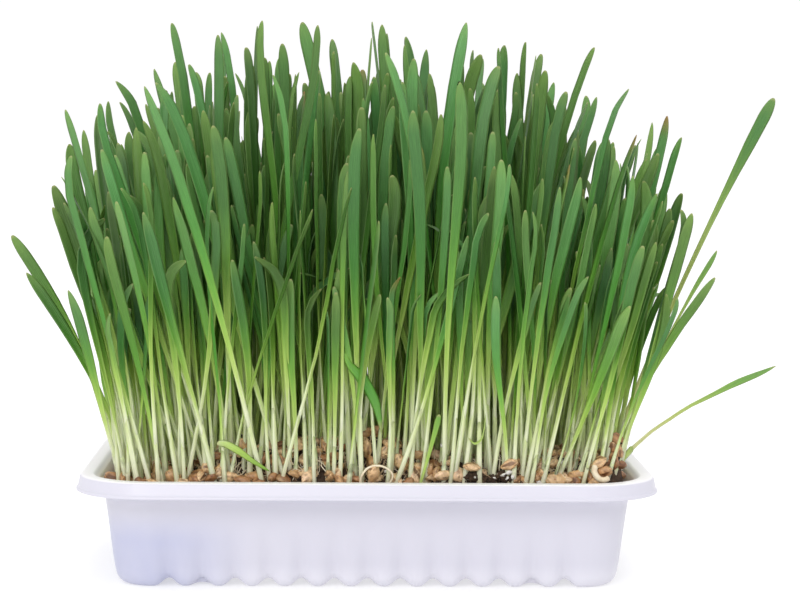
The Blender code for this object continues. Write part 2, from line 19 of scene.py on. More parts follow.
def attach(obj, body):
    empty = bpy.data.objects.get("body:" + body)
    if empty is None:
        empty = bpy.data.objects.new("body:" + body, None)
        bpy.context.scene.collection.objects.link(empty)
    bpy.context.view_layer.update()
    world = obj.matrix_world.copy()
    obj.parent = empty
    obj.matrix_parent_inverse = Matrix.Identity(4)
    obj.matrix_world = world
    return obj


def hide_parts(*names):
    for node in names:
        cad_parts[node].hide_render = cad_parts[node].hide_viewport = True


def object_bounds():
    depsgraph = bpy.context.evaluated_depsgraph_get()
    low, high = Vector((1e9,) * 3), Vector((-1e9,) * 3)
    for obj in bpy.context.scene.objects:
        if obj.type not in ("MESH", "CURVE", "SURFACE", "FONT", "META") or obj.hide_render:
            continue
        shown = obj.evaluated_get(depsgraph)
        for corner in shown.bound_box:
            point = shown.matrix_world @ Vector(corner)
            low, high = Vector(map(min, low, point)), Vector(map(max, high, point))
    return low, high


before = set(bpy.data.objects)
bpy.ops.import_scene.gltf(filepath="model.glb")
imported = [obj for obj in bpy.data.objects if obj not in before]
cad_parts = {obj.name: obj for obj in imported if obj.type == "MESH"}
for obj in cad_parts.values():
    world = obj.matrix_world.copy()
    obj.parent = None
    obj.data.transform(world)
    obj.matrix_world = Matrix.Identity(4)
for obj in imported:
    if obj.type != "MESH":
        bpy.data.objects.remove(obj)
bounds_of_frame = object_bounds()

MM = 0.001
TURN = 2.0 * math.pi
BODY = "root"

# Each kind of thing is drawn from a seed of its own.
SEED = 41
FILLER_SEED = SEED + 7
GRAIN_SEED = SEED + 11
CRUMB_SEED = SEED + 13
ROOT_SEED = SEED + 17
CROSSING_SEED = SEED + 19
LOOSE_BITS_SEED = SEED + 23

# Outline of the tray's body where it meets the rim.
HALF_LENGTH = 86.7
HALF_WIDTH = 56.7
CORNER_RADIUS = 16.5
CORNER_STEPS = 16

# Flutes round the lower body. The numbered pair on the front and back is blind.
FLUTE_PITCH = 10.8
FLUTES_ON_LONG_SIDE = 13
FLUTES_ON_SHORT_SIDE = 7
SAMPLES_PER_FLUTE = 12
BLIND_FLUTE = 5
LOBE_POWER = 1.5
SHORTEST_PLAIN_END = 0.5

# The tray's sections are points of (distance inside the outline, height).
INNER_WALL = (
    (9.6, 4.4),
    (7.0, 6.6),
    (4.4, 14.0),
    (2.2, 23.0),
    (1.0, 29.2),
    (0.5, 32.0),
    (-1.3, 34.8),
)
RIM = (
    (-3.6, 36.0),
    (-7.2, 36.0),
    (-7.9, 35.5),
    (-8.6, 32.0),
    (-9.2, 31.5),
    (-9.1, 30.7),
    (-7.9, 30.7),
    (-6.9, 35.0),
    (-4.0, 35.0),
    (-1.9, 33.8),
    (0.0, 30.2),
)
# Rows down the outer wall, first on a lobe and then in a flute.
OUTER_WALL = (
    ((1.1, 23.0), (1.1, 23.0)),
    ((2.3, 14.0), (3.0, 14.0)),
    ((3.5, 5.5), (5.0, 6.2)),
    ((4.8, 1.6), (6.6, 3.4)),
    ((7.4, 0.0), (8.8, 2.5)),
    ((12.5, 0.0), (13.0, 2.5)),
    ((15.2, 2.5), (15.2, 2.5)),
)
BLIND_ROW = 5
BLIND_POINT = (9.6, 0.9)
ROWS_BETWEEN = 5
FOOT_RADIUS = 12.0
FOOT_TAPER = 0.6
PROFILE_ROUNDING = 0.32
LONGEST_ROUNDING = 0.4
TRAY_SHARP_ANGLE = 50.0

# The root mat is cut into tiles, each of which carries one tuft.
TILE_COLUMNS = 8
TILE_ROWS = 6
TILE_JITTER = 1.8
TILE_GAP = 0.4
MAT_INSET = 1.7
MAT_CORNER_SIDES = 3
MAT_TOP = 32.9
MAT_LUMP = 0.25

# The roots have pushed the mat up in the middle, and in a clump at the right end.
MOUND_HEIGHT = 6.5
MOUND_RUN = 26.0
CLUMP_PLACE = (80.5, -12.0)
CLUMP_HEIGHT = 5.5
CLUMP_RADIUS = 6.5

# Grains of wheat that lie on the mat.
GRAINS_PER_TILE = 2
GRAIN_LENGTH = 6.4
GRAIN_WIDTH = 2.8
GRAIN_HEIGHT = 2.1
GRAIN_MARGIN = 1.5
GRAIN_SPACING = 1.3 * GRAIN_WIDTH

# A plain grain's foot, belt and top, in parts along, across and up.
GRAIN_CORNERS = (
    (-0.9, 0.0, 0.0),
    (0.0, -0.8, 0.0),
    (0.9, 0.0, 0.0),
    (0.0, 0.8, 0.0),
    (-1.0, 0.0, 0.45),
    (0.0, -1.0, 0.45),
    (1.0, 0.0, 0.45),
    (0.0, 1.0, 0.45),
    (-0.5, 0.0, 1.0),
    (0.5, 0.0, 1.0),
)

# Seedlings.
BLADES_PER_TILE = 10
ROOT_MARGIN = 1.9
ROOT_SPACING = 3.0
ROOT_TRIES = 60
POSE_TRIES = 6
STEM_WIDTH = 2.1
STEM_DEPTH = 1.5
BLADE_WIDTHS = (3.5, 5.4)
MIDDLE_HEIGHT = 146.0
SIDE_HEIGHT = 127.0
END_HEIGHT = 117.0
FRONT_HEIGHT = 118.0
MEAN_SHORTER = 28.0
HEIGHT_SPREAD = 15.0
MOST_SHORTER = 66.0
SIDE_ZONE = (50.0, 59.0)
END_ZONE = (70.0, 86.0)
FRONT_ZONE = (-56.0, -30.0)
FRONT_SHARE = (0.3, 1.0)
LEAN_SPREAD = 3.8
FRONT_LEAN_SPREAD = 4.0
BEND_SPREAD = 5.5
FAN_TO_LEFT = 9.0
FAN_TO_RIGHT = 11.5
FAN_ALONG_Y = 7.5
FAN_POWER = 2.2
OUTWARD_BEND = 2.5

# Tips that would pass these places to the left and right are drawn back by this share.
TIP_REACH = (-97.0, 105.0)
DRAWN_BACK = 0.85

# How a blade faces and twists, and how far it stays from the others.
FACING_SPREAD = 42.0
TWIST_SPREAD = 26.0
CLEARANCE = 0.35

# A plain blade's sections above its foot: part of its height, share of its width, and depth.
BLADE_SECTIONS = ((0.42, 0.52, 1.3), (0.8, 1.0, 1.0))
KEEL_SHARE = 0.7
TIP_WIDTH = 0.3

Station = namedtuple("Station", "x y nx ny weight blind")
Blade = namedtuple("Blade", "root slope bend height width facing twist")
Grain = namedtuple("Grain", "place angle")
Tile = namedtuple("Tile", "name outline grains blades")

# Seedlings that the photograph shows leaning out past the rim.
STRAYS = (
    Blade((80.0, -42.0), (0.25, -0.12), (2.2, 0.1), 40.0, 4.2, 10.0, 10.0),
    Blade((82.0, -18.0), (0.33, -0.16), (0.14, -0.10), 124.0, 4.6, -12.0, 8.0),
    Blade((81.0, -30.0), (0.30, -0.10), (0.28, 0.0), 77.0, 2.8, 20.0, 12.0),
    Blade((79.0, -36.0), (0.27, -0.10), (0.48, 0.0), 68.0, 4.2, 14.0, 6.0),
    Blade((-82.5, -24.0), (-0.20, -0.05), (-0.50, 0.0), 80.0, 4.4, 8.0, -10.0),
    Blade((-80.0, -10.0), (-0.15, -0.05), (-0.25, 0.0), 96.0, 6.4, -6.0, 8.0),
    Blade((-79.0, -34.0), (-0.24, -0.08), (-0.50, 0.0), 68.0, 4.0, 12.0, 12.0),
)

# Slim seedlings that stand between the ones of the part's source.
FILLERS_PER_TILE = 11
FILLERS_PER_FRONT_TILE = 7
FILLER_WIDTHS = (2.8, 4.6)
FILLER_SHORTER = (0.0, 56.0)
FILLER_LOWEST = 64.0
FILLER_TRIES = 24
FILLER_POSES = 4
FILLER_MARGIN = 1.0
FILLER_SPACING = 1.8
FILLER_CLEARANCE = 0.1
FILLER_SLIMMER = 0.66
FILLER_STEM = 0.84
FILLER_REACH_X = (-98.0, 106.0)
FILLER_REACH_Y = (-82.0, 82.0)

# Seedlings at the front edge that lean across the others.
CROSSING_COUNT = 66
CROSSING_TRIES = 30 * CROSSING_COUNT
CROSSING_ZONE = (-54.0, -38.0)
CROSSING_LEAN = 13.0
CROSSING_FAN = 7.0
CROSSING_FORWARD = (-9.0, -1.0)
CROSSING_BEND = 9.0
CROSSING_HEIGHTS = (62.0, 108.0)
CROSSING_WIDTHS = (2.5, 3.9)

# A fine leaf: how its width grows along it, and how its tip closes.
WIDTH_KNOTS = (
    (0.0, 0.36),
    (0.3, 0.38),
    (0.42, 0.49),
    (0.56, 0.68),
    (0.7, 0.88),
    (0.82, 0.98),
    (1.0, 0.9),
)
SLIM_KNOTS = (
    (0.0, 0.38),
    (0.5, 0.36),
    (0.68, 0.42),
    (0.78, 0.60),
    (0.87, 0.90),
    (0.94, 1.0),
    (1.0, 0.95),
)
BODY_RINGS = 13
TIP_RINGS = (0.78, 0.58, 0.4, 0.25, 0.13, 0.05, 0.012)
TIP_LENGTH = (1.3, 2.5)
LONGEST_TIP = 0.3
TIP_FADE = 9.0
LEAF_THICKNESS = 0.34
EDGE_THICKNESS = 0.12
THINNEST_TIP = 0.25
FINE_WIDTH = 0.9
STEM_FOLD = 0.75
FOLD_ZONE = (0.2, 0.75)
FOLD_POWER = 1.3
FOLD_SHIFT = 0.35
RIPPLES = 31.0
SWAY_WAVES = 0.85

# It starts as a tube inside its sheath, and unrolls above it.
STEM_RADIUS = 0.78
LEAF_INSIDE_SHEATH = 5.0
NARROWEST_TUBE = 0.35
TUBE_FLATNESS = 0.8
UNROLLING = (0.02, 0.34)

# Its section runs from the right edge round the front to the left edge and the back.
SECTION_ANGLES = np.radians([0.0, 45.0, 90.0, 135.0, 180.0, 225.0, 270.0, 315.0])
SIDE_COUNT = len(SECTION_ANGLES)
LEAF_ACROSS = np.array([1.0, 0.6, 0.0, -0.6, -1.0, -0.6, 0.0, 0.6])
LEAF_FACE = np.array([0.0, 1.0, 1.0, 1.0, 0.0, -1.0, -1.0, -1.0])
LEAF_EDGE = np.abs(LEAF_ACROSS)
LEAF_SKIN = 0.5 * (LEAF_THICKNESS + (EDGE_THICKNESS - LEAF_THICKNESS) * LEAF_EDGE ** 2) * LEAF_FACE

# Rings of a sheath: its height as a share of the sheath's and a shift, its radius, its slant.
SHEATH_RINGS = np.array((
    (0.0, -1.6, 1.12, 0.0),
    (0.0, 0.6, 1.1, 0.0),
    (0.25, 0.0, 1.03, 0.0),
    (0.5, 0.0, 1.0, 0.0),
    (0.75, 0.0, 0.97, 0.1),
    (1.0, -3.0, 0.93, 0.45),
    (1.0, 0.0, 0.88, 1.0),
    (1.0, -0.3, 0.5, 0.8),
))
SHEATH_HEIGHT = (6.0, 25.0)
SHEATH_SHARE = 0.4
SHEATH_RADIUS = 0.95
SHEATH_FLATNESS = 0.88

# Shifts of the noise on leaves and on other pieces are drawn from 0 to these.
LEAF_SEEDS = 60.0
OTHER_SEEDS = 90.0

# What the mesh of a seedling holds for its material, point by point.
SEEDLING_VALUES = ("across", "along", "part", "ripe", "hue", "seed", "tip", "brown", "dark", "base")

# A few of the lower fillers hang over at their ends.
HANGING_SHARE = 0.09
HANGING_HOOK = (7.0, 13.0)
HANGING_TURN = 0.5
HANGING_TALLEST = 100.0

# Inner seedlings are painted greener low down than the ones at the edges, as painted green light that passes
# through the leaves around them, and all ripen upwards.
INNER_ZONE = (9.0, 24.0)
INNER_PAINTED_GREEN_LIGHT = 0.14
RIPE_SHARE = 0.88
RIPENING_START = -4.0
SHEATH_GREEN = 0.05
SHEATH_GREEN_START = 0.35
BASE_ZONE = (0.0, 9.0)

# The slim strays at the right, by their roots, stay yellower and are stained low down.
SLIM_STRAYS = ((82.0, -18.0), (81.0, -30.0), (80.0, -42.0))
STRAY_RIPENING = 1.25
STRAY_LOW_GREEN = 0.07
STRAY_STAIN = 0.4
STAIN_ZONE = (0.5, 0.9)


# Meshes.


class Shape:
    """Points, faces and named values for each point, gathered for one mesh."""

    def __init__(self, *names):
        self.points = []
        self.faces = []
        self.values = {name: [] for name in names}
        self.count = 0

    def add(self, points, faces, **values):
        """Add points as an N by 3 array, faces that number them, and values for each."""
        points = np.asarray(points, dtype=float).reshape(-1, 3)
        self.points.append(points)
        for face in faces:
            self.faces.append(tuple(int(index) + self.count for index in face))
        for name, stored in self.values.items():
            value = np.asarray(values.get(name, 0.0), dtype=float).reshape(-1)
            if len(value) == 1:
                value = np.repeat(value, len(points))
            stored.append(value)
        self.count += len(points)

    def make(self, name, material, sharp_angle=None):
        """Turn what was gathered into an object that rides on the tray's body."""
        mesh = bpy.data.meshes.new(name)
        points = np.concatenate(self.points) * MM
        mesh.from_pydata(points.tolist(), [], self.faces)
        for label, stored in self.values.items():
            layer = mesh.attributes.new(label, "FLOAT", "POINT")
            layer.data.foreach_set("value", np.concatenate(stored))
        mesh.materials.append(material)
        mesh.shade_smooth()
        if sharp_angle is not None:
            mesh.set_sharp_from_angle(angle=math.radians(sharp_angle))
        made = bpy.data.objects.new(name, mesh)
        bpy.context.scene.collection.objects.link(made)
        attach(made, BODY)
        return made


def tube_faces(rings, sides):
    """Faces of a closed tube whose rings run anticlockwise as seen from its end."""
    faces = []
    for ring in range(rings - 1):
        low = ring * sides
        for side in range(sides):
            after = (side + 1) % sides
            faces.append((low + side, low + after, low + after + sides, low + side + sides))
    faces.append(tuple(range(sides - 1, -1, -1)))
    last = (rings - 1) * sides
    faces.append(tuple(last + side for side in range(sides)))
    return faces


# Layout, by the rule of the part's source.


def mat_grid(rng):
    """Corners of the mat's tiles, jittered inside the mat and along its edge."""
    half_x = HALF_LENGTH - MAT_INSET
    half_y = HALF_WIDTH - MAT_INSET
    grid = {}
    for row in range(TILE_ROWS + 1):
        for column in range(TILE_COLUMNS + 1):
            x = -half_x + 2.0 * half_x * column / TILE_COLUMNS
            y = -half_y + 2.0 * half_y * row / TILE_ROWS
            if 0 < column < TILE_COLUMNS:
                x += rng.uniform(-TILE_JITTER, TILE_JITTER)
            if 0 < row < TILE_ROWS:
                y += rng.uniform(-TILE_JITTER, TILE_JITTER)
            grid[column, row] = Vector((x, y))
    return grid


def rounded_corner(corner):
    """Arc that replaces a mat corner, in anticlockwise order."""
    radius = CORNER_RADIUS - MAT_INSET
    side_x = math.copysign(1.0, corner.x)
    side_y = math.copysign(1.0, corner.y)
    centre = Vector((corner.x - side_x * radius, corner.y - side_y * radius))
    start = math.atan2(side_y, side_x) - math.pi / 4.0
    points = []
    for step in range(MAT_CORNER_SIDES + 1):
        angle = start + step / MAT_CORNER_SIDES * math.pi / 2.0
        points.append(centre + radius * Vector((math.cos(angle), math.sin(angle))))
    return points


def shrink(outline, distance):
    """Move each side of a convex outline inwards."""
    count = len(outline)
    moved = []
    for index in range(count):
        before = (outline[index] - outline[index - 1]).normalized()
        after = (outline[(index + 1) % count] - outline[index]).normalized()
        normal_before = Vector((-before.y, before.x))
        normal_after = Vector((-after.y, after.x))
        reach = distance / (1.0 + normal_before.dot(normal_after))
        moved.append(outline[index] + (normal_before + normal_after) * reach)
    return moved


def tile_outline(grid, column, row):
    """Outline of one tile, anticlockwise, with a gap to the tiles beside it."""
    outline = []
    for step_x, step_y in ((0, 0), (1, 0), (1, 1), (0, 1)):
        corner = grid[column + step_x, row + step_y]
        on_end = column + step_x in (0, TILE_COLUMNS)
        on_side = row + step_y in (0, TILE_ROWS)
        if on_end and on_side:
            outline.extend(rounded_corner(corner))
        else:
            outline.append(corner)
    return shrink(outline, TILE_GAP / 2.0)


def depth_inside(outline, point):
    """Distance from a point to the nearest side of a convex outline, below 0 outside."""
    depths = []
    for index, corner in enumerate(outline):
        along = (outline[(index + 1) % len(outline)] - corner).normalized()
        offset = point - corner
        depths.append(along.x * offset.y - along.y * offset.x)
    return min(depths)


def random_inside(rng, outline, margin):
    """A random point of a convex outline, clear of its sides."""
    xs = [corner.x for corner in outline]
    ys = [corner.y for corner in outline]
    while True:
        point = Vector((rng.uniform(min(xs), max(xs)), rng.uniform(min(ys), max(ys))))
        if depth_inside(outline, point) >= margin:
            return point


def smooth_step(low, high, value):
    """0 below low, 1 above high, and smooth between."""
    part = max(0.0, min(1.0, (value - low) / (high - low)))
    return part * part * (3.0 - 2.0 * part)


def smooth_steps(low, high, values):
    """The smooth step of each value in an array."""
    part = np.clip((values - low) / (high - low), 0.0, 1.0)
    return part * part * (3.0 - 2.0 * part)


def mat_height(x, y):
    """Height of the mat's lumpy top."""
    from_end = smooth_step(0.0, MOUND_RUN, HALF_LENGTH - MAT_INSET - abs(x))
    from_side = smooth_step(0.0, MOUND_RUN, HALF_WIDTH - MAT_INSET - abs(y))
    off_clump = math.hypot(x - CLUMP_PLACE[0], y - CLUMP_PLACE[1]) / CLUMP_RADIUS
    rise = MOUND_HEIGHT * from_end * from_side + CLUMP_HEIGHT * math.exp(-0.5 * off_clump ** 2)
    return MAT_TOP + rise + MAT_LUMP * math.sin(0.41 * x + 0.7) * math.cos(0.37 * y)


def grain_ends(grain):
    """Both ends of a grain's footprint."""
    half = Vector((math.cos(grain.angle), math.sin(grain.angle))) * GRAIN_LENGTH / 2.0
    return grain.place - half, grain.place + half


def distance_to_grain(grain, point):
    """Distance from a point to a grain's axis."""
    start, end = grain_ends(grain)
    along = end - start
    part = max(0.0, min(1.0, (point - start).dot(along) / along.length_squared))
    return (point - start - along * part).length


def draw_grains(rng, outline):
    """Lay grains on a tile without letting them touch."""
    grains = []
    for _ in range(GRAINS_PER_TILE):
        for _ in range(ROOT_TRIES):
            grain = Grain(random_inside(rng, outline, GRAIN_WIDTH), rng.uniform(0.0, math.pi))
            ends = grain_ends(grain)
            if min(depth_inside(outline, end) for end in ends) < GRAIN_MARGIN:
                continue
            points = list(ends) + [grain.place]
            if all(distance_to_grain(other, point) > GRAIN_SPACING for other in grains for point in points):
                grains.append(grain)
                break
    return grains


def grain_points(grain):
    """Points of a grain's plain shell."""
    along = Vector((math.cos(grain.angle), math.sin(grain.angle)))
    side = Vector((-along.y, along.x))
    base = mat_height(grain.place.x, grain.place.y)

    points = []
    for part_along, part_side, part_up in GRAIN_CORNERS:
        flat = grain.place + along * (part_along * GRAIN_LENGTH / 2.0)
        flat += side * (part_side * GRAIN_WIDTH / 2.0)
        points.append(Vector((flat.x, flat.y, base + part_up * GRAIN_HEIGHT)))
    return points


def grain_shell():
    """Faces of a grain's plain shell."""
    faces = tube_faces(2, 4)[:4]
    return faces + [(4, 5, 8), (5, 9, 8), (5, 6, 9), (6, 7, 9), (7, 8, 9), (7, 4, 8)]


def blade_centre(blade, part):
    """Point of a blade's middle line at a part of its height."""
    x, y = blade.root
    bow = part * part / 2.0
    return Vector((
        x + blade.height * (blade.slope[0] * part + blade.bend[0] * bow),
        y + blade.height * (blade.slope[1] * part + blade.bend[1] * bow),
        mat_height(x, y) + blade.height * part,
    ))


def blade_axes(blade, part):
    """Directions across a blade and out of its back at a part of its height."""
    if part == 0.0:
        rise = Vector((0.0, 0.0, 1.0))
    else:
        rise = Vector((
            blade.slope[0] + blade.bend[0] * part,
            blade.slope[1] + blade.bend[1] * part,
            1.0,
        )).normalized()
    angle = math.radians(blade.facing + blade.twist * part)
    across = Vector((math.cos(angle), math.sin(angle), 0.0))
    across = (across - rise * across.dot(rise)).normalized()
    return across, rise.cross(across)


def blade_section(blade, part, width, depth):
    """Left edge, right edge and keel of a blade's section."""
    centre = blade_centre(blade, part)
    across, back = blade_axes(blade, part)
    front = centre - back * (depth * (1.0 - KEEL_SHARE))
    half = across * (width / 2.0)
    return [front - half, front + half, centre + back * (depth * KEEL_SHARE)]


def blade_points(blade, grow=0.0, slim=1.0):
    """Points of a blade's plain shell."""
    points = blade_section(blade, 0.0, (STEM_WIDTH + grow) * slim, (STEM_DEPTH + grow) * slim)
    for part, width, depth in BLADE_SECTIONS:
        points += blade_section(blade, part, (width * blade.width + grow) * slim, (depth + grow) * slim)
    tip = blade_centre(blade, 1.0)
    across, _ = blade_axes(blade, 1.0)
    half_tip = across * (TIP_WIDTH * blade.width + grow) / 2.0
    return points + [tip - half_tip, tip + half_tip]


def blade_shell():
    """Faces of a blade's plain shell."""
    left = len(BLADE_SECTIONS) * 3
    right, keel, tip_left, tip_right = range(left + 1, left + 5)
    return tube_faces(len(BLADE_SECTIONS) + 1, 3)[:left] + [
        (left, right, tip_right, tip_left),
        (right, keel, tip_right),
        (keel, tip_left, tip_right),
        (keel, left, tip_left),
    ]


def tangent(angle):
    """Tangent of an angle in degrees."""
    return math.tan(math.radians(angle))


def fan_angle(place, half, full):
    """Outward lean that grows towards an edge of the tray."""
    return math.copysign(full * abs(place / half) ** FAN_POWER, place)


def draw_blade(rng, root):
    """A random seedling that fits its place in the tray."""
    side = smooth_step(SIDE_ZONE[0], SIDE_ZONE[1], abs(root.x))
    end = smooth_step(END_ZONE[0], END_ZONE[1], abs(root.x))
    front = 1.0 - smooth_step(FRONT_ZONE[0], FRONT_ZONE[1], root.y)
    height = MIDDLE_HEIGHT + (SIDE_HEIGHT - MIDDLE_HEIGHT) * side
    height += (END_HEIGHT - SIDE_HEIGHT) * end
    height += (FRONT_HEIGHT - height) * front * rng.uniform(*FRONT_SHARE)
    height -= min(max(rng.gauss(MEAN_SHORTER, HEIGHT_SPREAD), 0.0), MOST_SHORTER)
    fan_x = FAN_TO_LEFT if root.x < 0.0 else FAN_TO_RIGHT
    lean_x = fan_angle(root.x, HALF_LENGTH, fan_x)
    lean_x += rng.gauss(0.0, LEAN_SPREAD + FRONT_LEAN_SPREAD * front)
    lean_y = fan_angle(root.y, HALF_WIDTH, FAN_ALONG_Y) + rng.gauss(0.0, LEAN_SPREAD)
    bend_x = rng.gauss(0.0, BEND_SPREAD) + OUTWARD_BEND * root.x / HALF_LENGTH
    bend_y = rng.gauss(0.0, BEND_SPREAD) + OUTWARD_BEND * root.y / HALF_WIDTH
    slope = [tangent(lean_x), tangent(lean_y)]
    bend = (tangent(bend_x), tangent(bend_y))
    tip_x = root.x + height * (slope[0] + bend[0] / 2.0)
    past = tip_x - max(TIP_REACH[0], min(TIP_REACH[1], tip_x))
    slope[0] -= DRAWN_BACK * past / height
    return Blade(
        (root.x, root.y),
        tuple(slope),
        bend,
        height,
        rng.uniform(*BLADE_WIDTHS),
        rng.gauss(0.0, FACING_SPREAD),
        rng.gauss(0.0, TWIST_SPREAD),
    )


def box_of(points):
    """Lowest and highest corner of a set of points."""
    low = tuple(min(point[axis] for point in points) for axis in range(3))
    high = tuple(max(point[axis] for point in points) for axis in range(3))
    return low, high


def tree_of(points, faces):
    """Search tree of a shell, for tests of touching."""
    return BVHTree.FromPolygons(points, faces, all_triangles=False)


class Thicket:
    """What has been placed so far, with a box and a search tree for each piece."""

    def __init__(self):
        self.pieces = []

    def add(self, points, faces):
        low, high = box_of(points)
        self.pieces.append((low, high, tree_of(points, faces)))

    def is_clear(self, points, faces):
        low, high = box_of(points)
        tree = None
        for other_low, other_high, other_tree in self.pieces:
            if any(low[axis] > other_high[axis] or high[axis] < other_low[axis] for axis in range(3)):
                continue
            if tree is None:
                tree = tree_of(points, faces)
            if tree.overlap(other_tree):
                return False
        return True


def draw_clear_blade(rng, tile, thicket):
    """A seedling for a tile that touches nothing placed before, or none."""
    for _ in range(ROOT_TRIES):
        root = random_inside(rng, tile.outline, ROOT_MARGIN)
        if any((root - Vector(blade.root)).length < ROOT_SPACING for blade in tile.blades):
            continue
        if any(distance_to_grain(grain, root) < ROOT_SPACING for grain in tile.grains):
            continue
        for _ in range(POSE_TRIES):
            blade = draw_blade(rng, root)
            if thicket.is_clear(blade_points(blade, 2.0 * CLEARANCE), blade_shell()):
                return blade
    return None


def draw_tiles():
    """Place the tiles, their grains and their seedlings as the part's source does."""
    rng = random.Random(SEED)
    grid = mat_grid(rng)
    thicket = Thicket()
    tiles = []
    for row in range(TILE_ROWS):
        for column in range(TILE_COLUMNS):
            outline = tile_outline(grid, column, row)
            tiles.append(Tile(f"tuft_r{row + 1}_c{column + 1}", outline, [], []))

    for stray in STRAYS:
        root = Vector(stray.root)
        home = max(tiles, key=lambda tile: depth_inside(tile.outline, root))
        home.blades.append(stray)
        thicket.add(blade_points(stray), blade_shell())

    for tile in tiles:
        for grain in draw_grains(rng, tile.outline):
            points = grain_points(grain)
            if thicket.is_clear(points, grain_shell()):
                tile.grains.append(grain)
                thicket.add(points, grain_shell())

    order = [tile for tile in tiles for _ in range(BLADES_PER_TILE - len(tile.blades))]
    rng.shuffle(order)
    for tile in order:
        blade = draw_clear_blade(rng, tile, thicket)
        if blade:
            tile.blades.append(blade)
            thicket.add(blade_points(blade), blade_shell())
    return tiles, thicket


def is_in_front(tile):
    """True for the tiles of the first row."""
    return tile.name.startswith("tuft_r1")


def kept_in_reach(blade):
    """The same seedling, drawn back until its tip is within the fillers' reach."""
    slope = list(blade.slope)
    for axis, (low, high) in enumerate((FILLER_REACH_X, FILLER_REACH_Y)):
        tip = blade.root[axis] + blade.height * (slope[axis] + blade.bend[axis] / 2.0)
        slope[axis] -= (tip - max(low, min(high, tip))) / blade.height
    return blade._replace(slope=tuple(slope))


def draw_fillers(tiles, thicket):
    """Slim seedlings between the others, as lists by tile name."""
    rng = random.Random(FILLER_SEED)
    fillers = {tile.name: [] for tile in tiles}
    order = []
    for tile in tiles:
        order += [tile] * (FILLERS_PER_FRONT_TILE if is_in_front(tile) else FILLERS_PER_TILE)
    rng.shuffle(order)
    for tile in order:
        blade = draw_filler(rng, tile, fillers[tile.name], thicket)
        if blade:
            fillers[tile.name].append(blade)
            thicket.add(blade_points(blade, 0.0, FILLER_SLIMMER), blade_shell())
    return fillers


def filler_root(rng, tile, placed):
    """A random root on a tile, or none where it would be too near to another."""
    root = random_inside(rng, tile.outline, FILLER_MARGIN)
    near = [Vector(blade.root) for blade in tile.blades + placed]
    return None if any((root - other).length < FILLER_SPACING for other in near) else root


def draw_filler(rng, tile, placed, thicket):
    """A slim seedling that touches nothing placed before, or none."""
    for _ in range(FILLER_TRIES):
        root = filler_root(rng, tile, placed)
        if root is None:
            continue
        for _ in range(FILLER_POSES):
            blade = draw_blade(rng, root)
            blade = blade._replace(
                height=max(FILLER_LOWEST, blade.height - rng.uniform(*FILLER_SHORTER)),
                width=rng.uniform(*FILLER_WIDTHS),
            )
            blade = kept_in_reach(blade)
            if thicket.is_clear(blade_points(blade, FILLER_CLEARANCE, FILLER_SLIMMER), blade_shell()):
                return blade
    return None


def draw_crossing(tiles, fillers, thicket):
    """Seedlings at the front edge that lean across, added to the fillers."""
    rng = random.Random(CROSSING_SEED)
    front = [tile for tile in tiles if is_in_front(tile)]
    placed = 0
    for _ in range(CROSSING_TRIES):
        if placed >= CROSSING_COUNT:
            break
        tile = rng.choice(front)
        root = filler_root(rng, tile, fillers[tile.name])
        if root is None or not CROSSING_ZONE[0] < root.y < CROSSING_ZONE[1]:
            continue
        blade = draw_blade(rng, root)
        lean = rng.gauss(0.0, CROSSING_LEAN) + fan_angle(root.x, HALF_LENGTH, CROSSING_FAN)
        blade = kept_in_reach(blade._replace(
            slope=(tangent(lean), tangent(rng.uniform(*CROSSING_FORWARD))),
            bend=(tangent(rng.gauss(0.0, CROSSING_BEND)), blade.bend[1]),
            height=rng.uniform(*CROSSING_HEIGHTS),
            width=rng.uniform(*CROSSING_WIDTHS),
        ))
        points = blade_points(blade, 0.0, FILLER_SLIMMER)
        if thicket.is_clear(points, blade_shell()):
            fillers[tile.name].append(blade)
            thicket.add(points, blade_shell())
            placed += 1


# Fine seedlings.


